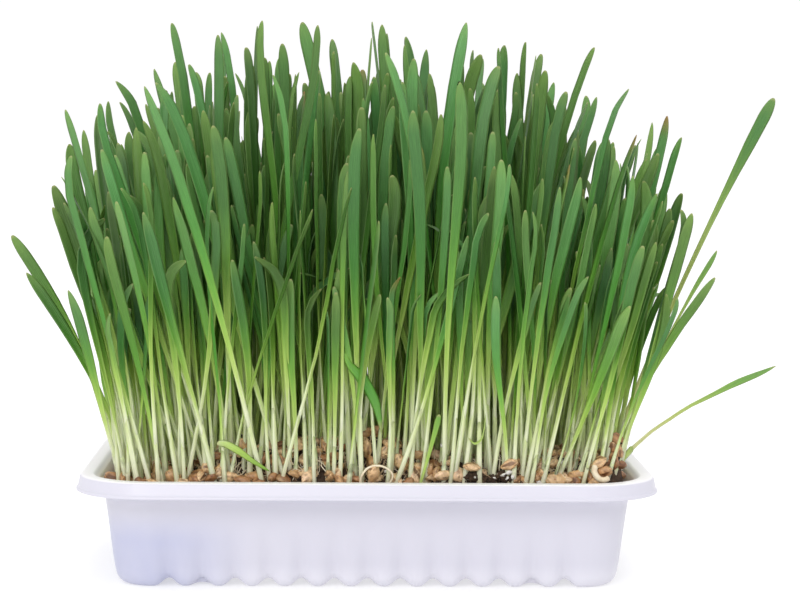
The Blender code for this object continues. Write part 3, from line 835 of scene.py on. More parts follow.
def look_of(blade, may_hang):
    """Traits that a seedling has besides its place, drawn from its own seed."""
    rng = random.Random(f"{SEED} {blade.root[0]:.3f} {blade.root[1]:.3f}")
    is_stray = blade in STRAYS
    sheath = min(rng.uniform(*SHEATH_HEIGHT), SHEATH_SHARE * blade.height)
    from_edge = min(HALF_LENGTH - abs(blade.root[0]), HALF_WIDTH - abs(blade.root[1]))
    inner = smooth_step(*INNER_ZONE, from_edge)
    look = {
        # Painted green light low down on the inner seedlings, with a little random tone of their own.
        "low_green": INNER_PAINTED_GREEN_LIGHT * inner * rng.uniform(0.5, 1.0) + rng.uniform(0.0, 0.015),
        "sheath": sheath,
        "slant": rng.uniform(1.0, 3.4),
        "slant_angle": rng.uniform(0.0, TURN),
        "sheath_radius": SHEATH_RADIUS * rng.uniform(0.86, 1.12),
        "ripening": min(rng.uniform(38.0, 118.0), RIPE_SHARE * blade.height),
        "hue": min(1.0, max(0.0, rng.gauss(0.5, 0.3))),
        "dark": rng.random(),
        "seed": rng.uniform(0.0, LEAF_SEEDS),
        "sway": 0.0 if is_stray else rng.gauss(0.0, 1.3),
        "phase": rng.uniform(0.0, 1.0),
        "fold": rng.uniform(0.12, 0.5),
        "tip_length": rng.uniform(*TIP_LENGTH),
        "tip_power": rng.uniform(0.42, 0.64),
        "hook": 0.0 if is_stray else rng.gauss(0.0, 2.0),
        "hook_start": 0.86,
        "droop": 0.25,
        "hook_angle": rng.uniform(0.0, TURN),
        "brown": rng.uniform(0.5, 1.0) if rng.random() < 0.02 else 0.0,
        "ripple": rng.uniform(0.0, 0.2),
        "pink": rng.random(),
        "stain": 0.0,
        "knots": WIDTH_KNOTS,
    }
    if blade.root in SLIM_STRAYS:
        look["knots"] = SLIM_KNOTS
        look["ripening"] = STRAY_RIPENING * blade.height
        look["low_green"] = STRAY_LOW_GREEN
        look["stain"] = STRAY_STAIN
        look["dark"] = 1.0
    if may_hang and rng.random() < HANGING_SHARE:
        look["hook"] = rng.choice((-1.0, 1.0)) * rng.uniform(*HANGING_HOOK)
        look["hook_angle"] = rng.uniform(-HANGING_TURN, HANGING_TURN)
        look["hook_start"] = 0.72
        look["droop"] = rng.uniform(0.5, 1.0)
    return look


def middle_line(blade, look, parts):
    """Points of a fine seedling's middle line, with its gentle sway and hooked tip."""
    x, y = blade.root
    bow = parts * parts / 2.0
    line = np.stack([
        x + blade.height * (blade.slope[0] * parts + blade.bend[0] * bow),
        y + blade.height * (blade.slope[1] * parts + blade.bend[1] * bow),
        mat_height(x, y) + blade.height * parts,
    ], axis=1)
    wave = np.sin(TURN * (SWAY_WAVES * parts + look["phase"])) - math.sin(TURN * look["phase"])
    past_start = np.clip((parts - look["hook_start"]) / (1.0 - look["hook_start"]), 0.0, 1.0)
    hook = look["hook"] * past_start ** 2
    pushes = ((look["sway"] * wave * parts, math.radians(blade.facing)), (hook, look["hook_angle"]))
    for push, angle in pushes:
        line[:, 0] += math.cos(angle) * push
        line[:, 1] += math.sin(angle) * push
    line[:, 2] -= look["droop"] * np.abs(hook)
    return line


def unit(vectors):
    """Rows scaled to a length of 1."""
    return vectors / np.linalg.norm(vectors, axis=1)[:, None]


def level_ways(blade, parts):
    """Level directions across a seedling and out of its front, ring by ring."""
    turns = np.radians(blade.facing + blade.twist * parts)
    level = np.zeros(len(turns))
    across = np.stack([np.cos(turns), np.sin(turns), level], axis=1)
    return across, np.stack([np.sin(turns), -np.cos(turns), level], axis=1)


def frames_along(line, guide):
    """Directions across a line and out of its front, ring by ring, by a guide across."""
    rise = unit(np.gradient(line, axis=0))
    across = unit(guide - rise * np.sum(guide * rise, axis=1)[:, None])
    return across, -np.cross(rise, across)


def sweep(line, across, front, x, y):
    """Points of rings round a line, from their places across it and out of its front."""
    return line[:, None, :] + across[:, None, :] * x[:, :, None] + front[:, None, :] * y[:, :, None]


def inside_box(points):
    """Points held inside the box of the part, which their thickness could just pass."""
    low, high = (np.array(corner) / MM for corner in bounds_of_frame)
    return np.clip(points, low, high)


def add_leaf(shape, blade, look, slim):
    """Add one leaf from inside its sheath to its tip."""
    height = blade.height
    start = max(0.0, (look["sheath"] - LEAF_INSIDE_SHEATH) / height)
    tip_part = min(LONGEST_TIP, look["tip_length"] * blade.width / height)
    body = np.linspace(start, 1.0 - tip_part, BODY_RINGS)
    parts = np.concatenate([body, 1.0 - tip_part * np.array(TIP_RINGS)])
    line = middle_line(blade, look, parts)
    across, front = frames_along(line, level_ways(blade, parts)[0])

    left_over = np.clip((1.0 - parts) / tip_part, 0.0, 1.0)
    closing = (1.0 - (1.0 - left_over) ** 2) ** look["tip_power"]
    half_width = FINE_WIDTH * blade.width / 2.0 * np.interp(parts, *zip(*look["knots"])) * closing
    fold = look["fold"] + (STEM_FOLD - look["fold"]) * (1.0 - smooth_steps(*FOLD_ZONE, parts))
    leaf_x = np.outer(half_width, LEAF_ACROSS)
    leaf_y = np.outer(fold * half_width, LEAF_EDGE ** FOLD_POWER - FOLD_SHIFT)
    leaf_y += np.outer(np.minimum(1.0, THINNEST_TIP + closing), LEAF_SKIN)
    leaf_y += look["ripple"] * np.outer(np.sin(parts * RIPPLES + look["seed"]), LEAF_EDGE)
    radius = STEM_RADIUS * slim
    tube_x = np.outer(np.minimum(1.0, NARROWEST_TUBE + closing), radius * np.cos(SECTION_ANGLES))
    tube_y = radius * TUBE_FLATNESS * np.sin(SECTION_ANGLES)[None, :]
    unrolled = smooth_steps(start + UNROLLING[0], start + UNROLLING[1], parts)[:, None]
    local_x = tube_x * (1.0 - unrolled) + leaf_x * unrolled
    local_y = tube_y * (1.0 - unrolled) + leaf_y * unrolled

    ripe = smooth_steps(RIPENING_START, look["ripening"], parts * height - look["sheath"])
    near_tip = 1.0 - np.clip((1.0 - parts) * height / TIP_FADE, 0.0, 1.0)
    stain = look["stain"] * (1.0 - smooth_steps(*STAIN_ZONE, parts))
    shape.add(
        inside_box(sweep(line, across, front, local_x, local_y)),
        tube_faces(len(parts), SIDE_COUNT),
        across=np.tile(LEAF_ACROSS, len(parts)),
        along=np.repeat(parts * height, SIDE_COUNT),
        part=np.repeat(parts, SIDE_COUNT),
        ripe=np.repeat(np.maximum(look["low_green"], ripe), SIDE_COUNT),
        hue=look["hue"],
        seed=look["seed"],
        tip=np.repeat(near_tip, SIDE_COUNT),
        brown=look["brown"],
        dark=look["dark"],
        base=np.repeat(stain, SIDE_COUNT),
    )


def add_sheath(shape, blade, look, slim):
    """Add the pale sheath that the leaf grows out of, with its slanted end."""
    share, shift, width, slanted = SHEATH_RINGS.T
    top = look["sheath"]
    heights = top * share + shift
    radii = look["sheath_radius"] * slim * width
    parts = np.clip(heights / blade.height, 0.0, 1.0)
    line = middle_line(blade, look, parts)
    line[:, 2] = mat_height(*blade.root) + heights
    across, front = level_ways(blade, parts)
    round_x = np.outer(radii, np.cos(SECTION_ANGLES))
    round_y = np.outer(radii, np.sin(SECTION_ANGLES)) * SHEATH_FLATNESS
    points = sweep(line, across, front, round_x, round_y)
    raised = np.outer(slanted, look["slant"] * np.cos(SECTION_ANGLES + look["slant_angle"]))
    points += raised[:, :, None] * (blade.slope[0], blade.slope[1], 1.0)
    greening = SHEATH_GREEN * smooth_steps(SHEATH_GREEN_START * top, top, heights)
    shape.add(
        points,
        tube_faces(len(heights), SIDE_COUNT),
        across=np.tile(LEAF_ACROSS, len(heights)),
        along=np.repeat(heights, SIDE_COUNT),
        ripe=np.repeat(look["low_green"] + greening, SIDE_COUNT),
        hue=look["hue"],
        seed=look["seed"],
        dark=look["pink"],
        base=np.repeat(1.0 - smooth_steps(*BASE_ZONE, heights), SIDE_COUNT),
    )


def build_tufts(tiles, fillers, material):
    """One piece of fine seedlings for each tuft."""
    for tile in tiles:
        shape = Shape(*SEEDLING_VALUES)
        seedlings = [(blade, 1.0, False) for blade in tile.blades]
        for blade in fillers[tile.name]:
            seedlings.append((blade, FILLER_STEM, blade.height < HANGING_TALLEST))
        for blade, slim, may_hang in seedlings:
            look = look_of(blade, may_hang)
            add_sheath(shape, blade, look, slim)
            add_leaf(shape, blade, look, slim)
        piece = shape.make(tile.name + "_seedlings", material)
        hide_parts(tile.name)


# Tray.


def outline_stations():
    """Walk the body's outline anticlockwise, as seen from above, from the front left."""
    long_side = (FLUTES_ON_LONG_SIDE, HALF_LENGTH, HALF_WIDTH, True)
    short_side = (FLUTES_ON_SHORT_SIDE, HALF_WIDTH, HALF_LENGTH, False)
    stations = []
    for quarter, (flutes, half_run, distance, is_long) in enumerate((long_side, short_side) * 2):
        cosine = round(math.cos(quarter * math.pi / 2.0))
        sine = round(math.sin(quarter * math.pi / 2.0))

        def add(along, out, normal_along=0.0, normal_out=1.0, weight=0.0, blind=False):
            stations.append(Station(
                along * cosine + out * sine,
                along * sine - out * cosine,
                normal_along * cosine + normal_out * sine,
                normal_along * sine - normal_out * cosine,
                weight,
                blind,
            ))

        straight = half_run - CORNER_RADIUS
        steps = flutes * SAMPLES_PER_FLUTE
        reach = steps / 2.0 * FLUTE_PITCH / SAMPLES_PER_FLUTE
        has_plain_ends = straight - reach > SHORTEST_PLAIN_END
        if has_plain_ends:
            add(-straight, distance)
        for step in range(steps + 1):
            along = (step - steps / 2.0) * FLUTE_PITCH / SAMPLES_PER_FLUTE
            weight = (1.0 - math.cos(TURN * step / SAMPLES_PER_FLUTE)) / 2.0
            is_blind = is_long and abs(round(along / FLUTE_PITCH)) == BLIND_FLUTE
            add(along, distance, weight=weight ** LOBE_POWER, blind=is_blind)
        if has_plain_ends:
            add(straight, distance)
        for step in range(1, CORNER_STEPS):
            angle = step / CORNER_STEPS * math.pi / 2.0
            right, out = math.sin(angle), math.cos(angle)
            centre = distance - CORNER_RADIUS
            add(straight + CORNER_RADIUS * right, centre + CORNER_RADIUS * out, right, out)
    return stations


def rounded_profile(points, radius):
    """Replace each inner corner of a profile by a small curve of three points."""
    points = [Vector(point) for point in points]
    rounded = [points[0]]
    for before, here, after in zip(points, points[1:], points[2:]):
        back = before - here
        on = after - here
        reach = min(radius, LONGEST_ROUNDING * back.length, LONGEST_ROUNDING * on.length)
        start = here + back.normalized() * reach
        end = here + on.normalized() * reach
        rounded += [start, (start + end) / 4.0 + here / 2.0, end]
    rounded.append(points[-1])
    return rounded


def curve_through(points, steps):
    """Smooth rows through a column of points, by the Catmull-Rom rule."""
    column = np.array([points[0], *points, points[-1]], dtype=float)
    curve = []
    for a, b, c, d in zip(column, column[1:], column[2:], column[3:]):
        for t in (step / steps for step in range(steps)):
            linear = (c - a) * t
            square = (2.0 * a - 5.0 * b + 4.0 * c - d) * t * t
            cubic = (3.0 * b - a - 3.0 * c + d) * t ** 3
            curve.append(0.5 * (2.0 * b + linear + square + cubic))
    return np.array(curve + [column[-2]])


def build_tray(material):
    """The whole tray as one closed skin, finer than the part's source."""
    stations = outline_stations()
    count = len(stations)
    xs, ys, nxs, nys, weights, blind = (np.array(values) for values in zip(*stations))

    profile = rounded_profile(INNER_WALL + RIM, PROFILE_ROUNDING)
    rows = [(np.full(count, inset), np.full(count, height)) for inset, height in profile]
    inner_rows = 3 * len(INNER_WALL) - 2
    lobe, flute = ([pair[side] for pair in OUTER_WALL] for side in (0, 1))
    filled = flute[:BLIND_ROW] + [BLIND_POINT] + flute[BLIND_ROW + 1:]
    curves = (curve_through([RIM[-1]] + column, ROWS_BETWEEN)[1:] for column in (lobe, flute, filled))
    for on_lobe, in_flute, in_blind in zip(*curves):
        inner = np.where(blind[:, None], in_blind, in_flute)
        place = on_lobe + (inner - on_lobe) * weights[:, None]
        rows.append((place[:, 0], np.maximum(place[:, 1], 0.0)))
    points = [np.stack([xs - inset * nxs, ys - inset * nys, height], axis=1) for inset, height in rows]

    angles = (np.arange(count) + 0.5) / count * TURN - 0.75 * math.pi
    foot_height = OUTER_WALL[-1][0][1]
    for radius, height in ((FOOT_RADIUS, foot_height), (FOOT_RADIUS - FOOT_TAPER, 0.0)):
        places = (radius * np.cos(angles), radius * np.sin(angles), np.full(count, height))
        points.append(np.stack(places, axis=1))

    # The skin runs down the inside first, so its faces turn the other way round.
    faces = [face[:1] + face[:0:-1] for face in tube_faces(len(points), count)]
    inside = np.zeros(len(points) * count)
    inside[:inner_rows * count] = 1.0
    shape = Shape("inside")
    shape.add(np.concatenate(points), faces, inside=inside)
    piece = shape.make("tray_shell", material, TRAY_SHARP_ANGLE)
    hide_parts("tray")


# Bed of soil, grains and roots.

# The largest pieces of perlite: place and size.
BIG_PERLITE = (
    (45.6, -54.6, 38.6, 1.3),
    (43.9, -54.8, 37.8, 0.9),
    (46.8, -54.6, 37.2, 0.9),
    (45.0, -54.9, 36.8, 0.7),
    (41.0, -53.6, 36.6, 0.5),
    (34.6, -55.0, 37.0, 0.5),
    (32.2, -53.4, 36.2, 0.4),
    (24.0, -50.0, 46.6, 0.7),
)
BIG_PERLITE_TONE = 0.9

# Clods of soil at the front: place and size.
CLODS = (
    (31.0, -51.4, 36.4, 2.2),
    (34.0, -52.8, 36.6, 2.3),
    (37.0, -51.6, 36.0, 2.0),
    (40.6, -51.8, 35.6, 1.9),
    (44.8, -52.6, 36.8, 2.5),
    (48.4, -51.6, 35.8, 2.0),
    (81.0, -48.6, 42.6, 1.6),
    (81.4, -47.6, 46.8, 1.4),
)
CRUMBS_ON_A_CLOD = 26
CLOD_CRUMB_SIZES = (0.3, 0.9)
CLOD_CRUMB_REACH = (0.7, 1.05)
CLOD_CRUMB_WAYS = ((0.0, 1.0), (-0.5, 0.7), (0.4, 0.8))

# A patch of bare soil at the front: left, right and back.
SOIL_PATCH = (29.0, 48.0, -40.0)

# Grains that the photograph shows: place, heading and pitch in degrees, size and tone.
FRONT_GRAINS = (
    (-40.3, -47.0, 46.0, 60.0, 30.0, 0.9, 0.45),
    (-22.7, -48.0, 46.6, 5.0, -6.0, 1.05, 0.72),
    (-47.7, -51.0, 36.9, 70.0, 52.0, 1.0, 0.95),
    (-36.9, -51.0, 35.9, 15.0, 10.0, 1.05, 0.4),
    (-18.4, -51.0, 36.8, 20.0, 18.0, 1.15, 0.8),
    (-10.5, -51.0, 36.6, 110.0, 40.0, 1.1, 0.92),
    (-19.0, -47.0, 40.4, 150.0, 12.0, 1.05, 0.3),
    (-10.5, -47.0, 42.0, 30.0, 20.0, 1.0, 0.4),
    (-0.8, -48.5, 45.4, 80.0, 68.0, 1.12, 0.68),
    (-1.4, -45.0, 50.2, 15.0, -12.0, 1.0, 0.42),
    (1.6, -54.6, 37.4, 95.0, 66.0, 1.2, 0.66),
    (7.7, -47.5, 46.8, 10.0, 16.0, 1.08, 0.7),
    (10.8, -50.0, 40.8, 25.0, 58.0, 1.1, 0.74),
    (4.5, -46.0, 43.0, 50.0, 10.0, 1.0, 0.35),
    (19.7, -50.5, 38.2, 110.0, 50.0, 1.0, 0.42),
    (22.9, -51.0, 36.6, 60.0, 64.0, 1.05, 0.5),
    (15.0, -46.0, 43.0, 140.0, 10.0, 1.0, 0.5),
    (33.6, -55.0, 40.4, 4.0, 6.0, 0.84, 0.76),
    (45.6, -54.8, 41.2, 160.0, 24.0, 0.88, 0.66),
    (49.5, -51.5, 35.6, 20.0, 12.0, 1.05, 0.45),
    (56.0, -50.5, 37.2, 100.0, 30.0, 1.0, 0.6),
    (61.9, -52.0, 35.6, 6.0, 5.0, 1.3, 0.7),
    (67.5, -50.5, 36.8, 150.0, 14.0, 1.05, 0.55),
    (74.6, -52.6, 41.6, 165.0, 28.0, 0.92, 0.66),
    (80.2, -49.8, 41.8, 75.0, 60.0, 0.95, 0.12),
    (82.2, -48.4, 44.8, 60.0, 70.0, 0.9, 0.4),
    (79.4, -49.6, 45.6, 100.0, 55.0, 0.85, 0.05),
    (81.4, -48.2, 48.8, 20.0, 30.0, 0.85, 0.3),
    (82.4, -48.0, 40.4, 30.0, 10.0, 0.85, 0.1),
    (76.4, -52.0, 38.4, 150.0, 20.0, 1.0, 0.3),
    (78.5, -44.0, 40.0, 80.0, 40.0, 1.0, 0.5),
    (80.8, -34.0, 43.6, 80.0, 50.0, 1.0, 0.45),
    (82.5, -28.0, 41.8, 30.0, 20.0, 1.0, 0.6),
    (80.0, -24.0, 46.6, 60.0, 60.0, 0.95, 0.3),
    (82.0, -18.0, 48.4, 30.0, 20.0, 0.95, 0.5),
    (79.5, -14.0, 51.0, 100.0, 10.0, 0.9, 0.35),
    (82.0, -40.0, 38.6, 120.0, 20.0, 1.0, 0.4),
    (-56.0, -50.5, 36.6, 150.0, 14.0, 1.0, 0.3),
    (-63.0, -50.5, 36.2, 20.0, 25.0, 1.0, 0.5),
)
FRONT_GRAIN_SIZE = 1.1

# The bed's sides as points of (distance inside the outline, height), and its lumpy top.
BED_SIDES = ((10.0, 4.8), (7.4, 6.6), (4.8, 14.0), (2.6, 23.0), (1.5, 29.2), (1.0, 31.0))
BED_STATION_STEP = 4
BED_RINGS = 58
BED_BELOW_MAT = 0.5
BED_LUMP = 1.2
BED_LUMP_SCALE = 0.16
BED_LUMP_SHIFT = 3.0
BED_CRUMB = 0.55
BED_CRUMB_SCALE = 0.75
BED_LOWEST = 31.2

# Grains lie heaped in a ridge behind the front rim.
RIDGE_PLACE = -44.0
RIDGE_WIDTH = 8.0
RIDGE_HEIGHT = 8.0
RIDGE_ENDS = (-62.0, 86.0)
RIDGE_FADES = (14.0, 8.0)
RIDGE_MEAN = 0.72
RIDGE_LUMP = 0.55
RIDGE_LUMP_SCALE = (0.085, 0.1)
RIDGE_LUMP_SHIFT = 7.0
HEAP_PLACE = -4.0
HEAP_REACH = 23.0
HEAP_HEIGHT = 6.5
END_HEAP_PLACE = (80.6, -44.5)
END_HEAP_REACH = 4.6
END_HEAP_HEIGHT = 7.5

# What is strewn over the bed. Its X is even in a zone, and its Y starts at a margin from the
# front and thins out over a spread. Nothing lies nearer to the outline than the inset.
Strewn = namedtuple("Strewn", "count zone margin spread inset sizes")
LENGTH_ZONE = (-HALF_LENGTH, HALF_LENGTH)
LOOSE_GRAINS = Strewn(430, (-HALF_LENGTH + 3.0, HALF_LENGTH - 2.6), 3.0, 20.0, 3.0, (0.9, 1.15))
CRUMBS = Strewn(1300, LENGTH_ZONE, 2.5, 30.0, 2.6, (0.35, 1.05))
PERLITE = Strewn(36, LENGTH_ZONE, 2.5, 26.0, 3.2, (0.5, 1.3))
ROOTS = Strewn(260, (-HALF_LENGTH + 4.0, HALF_LENGTH - 4.0), 4.0, 15.0, 4.0, (0.12, 0.27))
FINE_ROOTS = Strewn(210, (-60.0, 76.0), 3.4, 4.0, 3.2, (0.12, 0.2))
LOOSE_GRAIN_TRIES = 6000
LOOSE_GRAIN_SPACING = 3.3
LOOSE_GRAIN_LIFT = (0.3, 2.2)
LOOSE_GRAIN_PITCH = 0.45
MAT_GRAIN_LIFT = 0.9
MAT_GRAIN_PITCH = 0.12

# Each kind of root: its steps, their length, and how high it can arch.
ROOT_KINDS = (
    (ROOTS, 10, 1.25, (0.2, 2.2)),
    (FINE_ROOTS, 14, 0.95, (0.8, 4.6)),
)
ROOT_INSET = 3.0
ROOT_WANDER = 0.5
ROOT_THINNING = 0.35
ROOT_SIDES = 5
ROOT_LIFT = 0.1
SHORTEST_ROOT = 4
THREAD_GUIDE = (0.31, 0.52, 0.79)
THREAD_STEPS = 6
THREAD_SIDES = 10
THREAD_ENDS = (0.6, 0.5)

# A fine grain: how its sizes vary, and its form with its belly, crease and wrinkles.
LENGTH_RANGE = (0.9, 1.08)
WIDTH_RANGE = (1.3, 1.62)
DEPTH_RANGE = (1.0, 1.25)
LOPSIDED = 0.2
BELLY_TAPER = 0.12
GERM_TAPER = 0.38
BACK_TAPER = 0.04
CREASE_WIDTH = 0.16
CREASE_DEPTH = 0.4
CREASE_SHADE = 3.0

# Noise on a grain: its scale along the grain and round it.
WRINKLE_SCALE = (0.5, 1.5)
WRINKLE_HEIGHT = 0.2
RIDGE_SCALE = (0.36, 1.2)
RIDGE_RISE = 0.45
RIDGE_LEVEL = 0.28
# How much painted shade lies in the valleys between the ridges and in the furrows along the streaks.
VALLEY_LEVEL = 0.1
VALLEY_SHADE = 1.3
STREAK_SCALE = (0.22, 2.6)
STREAK_LEVEL = 0.16
STREAK_SHADE = 1.5

CRUMB_LIFT = 0.25
PERLITE_LIFT = 0.3
CRUMB_STRETCH = ((0.7, 1.3), (0.7, 1.2), (0.5, 0.9))
CRUMB_SCALE = (1.4, 1.4)
CRUMB_BUMP = 0.45
CRUMB_TURN = 6.3
CRUMB_TILT = 0.6


def inside_outline(x, y, inset):
    """True where a place is at least the inset inside the tray's outline."""
    radius = CORNER_RADIUS - inset
    over_x = abs(x) - (HALF_LENGTH - CORNER_RADIUS)
    over_y = abs(y) - (HALF_WIDTH - CORNER_RADIUS)
    if over_x <= 0.0 or over_y <= 0.0:
        return over_x <= radius and over_y <= radius
    return math.hypot(over_x, over_y) <= radius


def ridge_height(x, y):
    """Height of the heap of grains behind the front rim."""
    across = math.exp(-((y - RIDGE_PLACE) / RIDGE_WIDTH) ** 2)
    along = smooth_step(RIDGE_ENDS[0], RIDGE_ENDS[0] + RIDGE_FADES[0], x)
    along *= smooth_step(-RIDGE_ENDS[1], -RIDGE_ENDS[1] + RIDGE_FADES[1], -x)
    lumps = noise.noise(Vector((x * RIDGE_LUMP_SCALE[0], y * RIDGE_LUMP_SCALE[1], RIDGE_LUMP_SHIFT)))
    lumps = RIDGE_MEAN + RIDGE_LUMP * lumps
    heap = HEAP_HEIGHT * math.exp(-((x - HEAP_PLACE) / HEAP_REACH) ** 2)
    off_end = math.hypot(x - END_HEAP_PLACE[0], y - END_HEAP_PLACE[1]) / END_HEAP_REACH
    return (RIDGE_HEIGHT + heap) * across * along * lumps + END_HEAP_HEIGHT * math.exp(-off_end ** 2)


def bed_height(x, y):
    """Height of the fine, crumbly bed."""
    place = Vector((x, y, BED_LUMP_SHIFT))
    lump = noise.fractal(place * BED_LUMP_SCALE, 1.0, 2.1, 3) * BED_LUMP
    crumb = noise.fractal(place * BED_CRUMB_SCALE, 0.9, 2.0, 3) * BED_CRUMB
    return max(BED_LOWEST, mat_height(x, y) - BED_BELOW_MAT + lump + crumb + ridge_height(x, y))


def strewn_place(rng, kind):
    """A random place for a strewn thing, or none where it would pass the inset."""
    x = rng.uniform(*kind.zone)
    y = -HALF_WIDTH + kind.margin + abs(rng.gauss(0.0, kind.spread))
    return (x, y) if inside_outline(x, y, kind.inset) else None


def build_bed(material):
    """Crumbly dark surface of the growing medium over a plain solid body."""
    stations = outline_stations()[::BED_STATION_STEP]
    rings = []
    for inset, height in BED_SIDES:
        rings.append([(s.x - inset * s.nx, s.y - inset * s.ny, height) for s in stations])
    edge = rings[-1]
    for step in range(1, BED_RINGS):
        share = 1.0 - step / BED_RINGS
        places = [(x * share, y * share) for x, y, _ in edge]
        rings.append([(x, y, bed_height(x, y)) for x, y in places])
    shape = Shape()
    shape.add(np.array(rings), tube_faces(len(rings), len(stations)))
    piece = shape.make("soil_bed", material)
    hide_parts("soil")


def ball(around, along):
    """Unit directions and faces of a ball with its poles on X."""
    points = [(-1.0, 0.0, 0.0)]
    for ring in range(1, along):
        angle = math.pi * ring / along
        for side in range(around):
            turn = TURN * side / around
            radius = math.sin(angle)
            points.append((-math.cos(angle), radius * math.cos(turn), radius * math.sin(turn)))
    points.append((1.0, 0.0, 0.0))
    last = len(points) - 1
    last_ring = last - around
    faces = []
    for low in range(1, last_ring, around):
        for side in range(around):
            after = (side + 1) % around
            faces.append((low + side, low + side + around, low + after + around, low + after))
    for side in range(around):
        after = (side + 1) % around
        faces += [(0, 1 + side, 1 + after), (last, last_ring + after, last_ring + side)]
    return np.array(points), faces


BALL, BALL_FACES = ball(16, 15)
SMALL_BALL, SMALL_BALL_FACES = ball(7, 6)


def turned(points, heading, pitch, roll):
    """Turn points about X, then Y, then Z."""
    matrix = Matrix.Rotation(heading, 3, "Z") @ Matrix.Rotation(pitch, 3, "Y") @ Matrix.Rotation(roll, 3, "X")
    return points @ np.array(matrix).T


def noise_at(points, scale, seed, kind=noise.noise):
    """Noise at each point, with a scale along X and one round it, shifted by a seed."""
    along, around = scale
    places = points * (along, around, around) + (seed, 0.0, 0.0)
    return np.array([kind(Vector(place)) for place in places])


def rough_noise(place):
    """Noise with finer noise on it."""
    return noise.fractal(place, 0.9, 2.1, 3)


def add_grain(shape, rng, place, heading, pitch, roll, size=1.0, tone=None):
    """Add one wrinkled grain of wheat with its crease and its germ."""
    length = GRAIN_LENGTH * rng.uniform(*LENGTH_RANGE) * size
    width = GRAIN_WIDTH * rng.uniform(*WIDTH_RANGE) * size
    depth = GRAIN_WIDTH * rng.uniform(*DEPTH_RANGE) * size
    x, y, z = BALL.T
    lopsided = rng.uniform(-LOPSIDED, LOPSIDED)
    belly = (1.0 + lopsided * x - BELLY_TAPER * x * x) * (1.0 - GERM_TAPER * ((x + 1.0) / 2.0) ** 3)
    crease = np.exp(-(y / CREASE_WIDTH) ** 2) * np.clip(-z, 0.0, 1.0) * CREASE_DEPTH * (1.0 - x ** 4)
    points = np.stack([
        x * length / 2.0 * (1.0 - BACK_TAPER * np.abs(z)),
        y * width / 2.0 * belly,
        (z * belly + crease) * depth / 2.0,
    ], axis=1)
    seed = rng.uniform(0.0, OTHER_SEEDS)
    wrinkle = noise_at(points, WRINKLE_SCALE, seed, rough_noise)
    ridge = RIDGE_LEVEL - np.abs(noise_at(points, RIDGE_SCALE, seed))
    points = points + BALL * ((WRINKLE_HEIGHT * wrinkle + RIDGE_RISE * ridge) * size)[:, None]
    streak = np.abs(noise_at(points, STREAK_SCALE, seed))
    # The valleys and furrows, with the crease, carry painted shade in the fold value.
    valley = np.clip(VALLEY_LEVEL - ridge, 0.0, 1.0) * VALLEY_SHADE
    furrow = np.clip(streak - STREAK_LEVEL, 0.0, 1.0) * STREAK_SHADE
    shape.add(
        turned(points, heading, pitch, roll) + place,
        BALL_FACES,
        germ=np.clip(-x, 0.0, 1.0),
        fold=crease * CREASE_SHADE + (valley + furrow),
        tone=rng.random() if tone is None else tone,
        seed=seed,
    )


def build_grains(tiles, material):
    """Grains of wheat on the mat, loose and piled, thickest along the front."""
    rng = random.Random(GRAIN_SEED)
    on_mat, loose, in_front = (Shape("germ", "fold", "tone", "seed") for _ in range(3))
    for tile in tiles:
        for grain in tile.grains:
            x, y = grain.place
            place = (x, y, mat_height(x, y) + ridge_height(x, y) + MAT_GRAIN_LIFT)
            heading = grain.angle + rng.choice((0.0, math.pi))
            pitch = rng.gauss(0.0, MAT_GRAIN_PITCH)
            add_grain(on_mat, rng, place, heading, pitch, rng.uniform(0.0, TURN))

    placed = []
    for _ in range(LOOSE_GRAIN_TRIES):
        if len(placed) >= LOOSE_GRAINS.count:
            break
        spot = strewn_place(rng, LOOSE_GRAINS)
        if spot is None:
            continue
        x, y = spot
        in_patch = SOIL_PATCH[0] < x < SOIL_PATCH[1] and y < SOIL_PATCH[2]
        if in_patch or any((x - px) ** 2 + (y - py) ** 2 < LOOSE_GRAIN_SPACING ** 2 for px, py in placed):
            continue
        placed.append(spot)
        place = (x, y, bed_height(x, y) + rng.uniform(*LOOSE_GRAIN_LIFT))
        heading = rng.uniform(0.0, TURN)
        pitch = rng.gauss(0.0, LOOSE_GRAIN_PITCH)
        roll = rng.uniform(0.0, TURN)
        add_grain(loose, rng, place, heading, pitch, roll, rng.uniform(*LOOSE_GRAINS.sizes))

    for x, y, z, heading, pitch, size, tone in FRONT_GRAINS:
        heading, pitch = math.radians(heading), math.radians(pitch)
        roll = rng.uniform(0.0, TURN)
        add_grain(in_front, rng, (x, y, z), heading, pitch, roll, FRONT_GRAIN_SIZE * size, tone)

    on_mat.make("grains_on_the_mat", material)
    loose.make("grains_loose", material)
    in_front.make("grains_at_the_front", material)


def add_crumb(shape, rng, place, size, tone):
    """Add one irregular crumb."""
    stretch = np.array([rng.uniform(*limits) for limits in CRUMB_STRETCH])
    seed = rng.uniform(0.0, OTHER_SEEDS)
    bump = 1.0 + CRUMB_BUMP * noise_at(SMALL_BALL, CRUMB_SCALE, seed)
    points = SMALL_BALL * bump[:, None] * stretch * size
    heading = rng.uniform(0.0, CRUMB_TURN)
    pitch = rng.uniform(-CRUMB_TILT, CRUMB_TILT)
    points = turned(points, heading, pitch, rng.uniform(0.0, CRUMB_TURN))
    shape.add(points + place, SMALL_BALL_FACES, tone=tone, seed=seed)


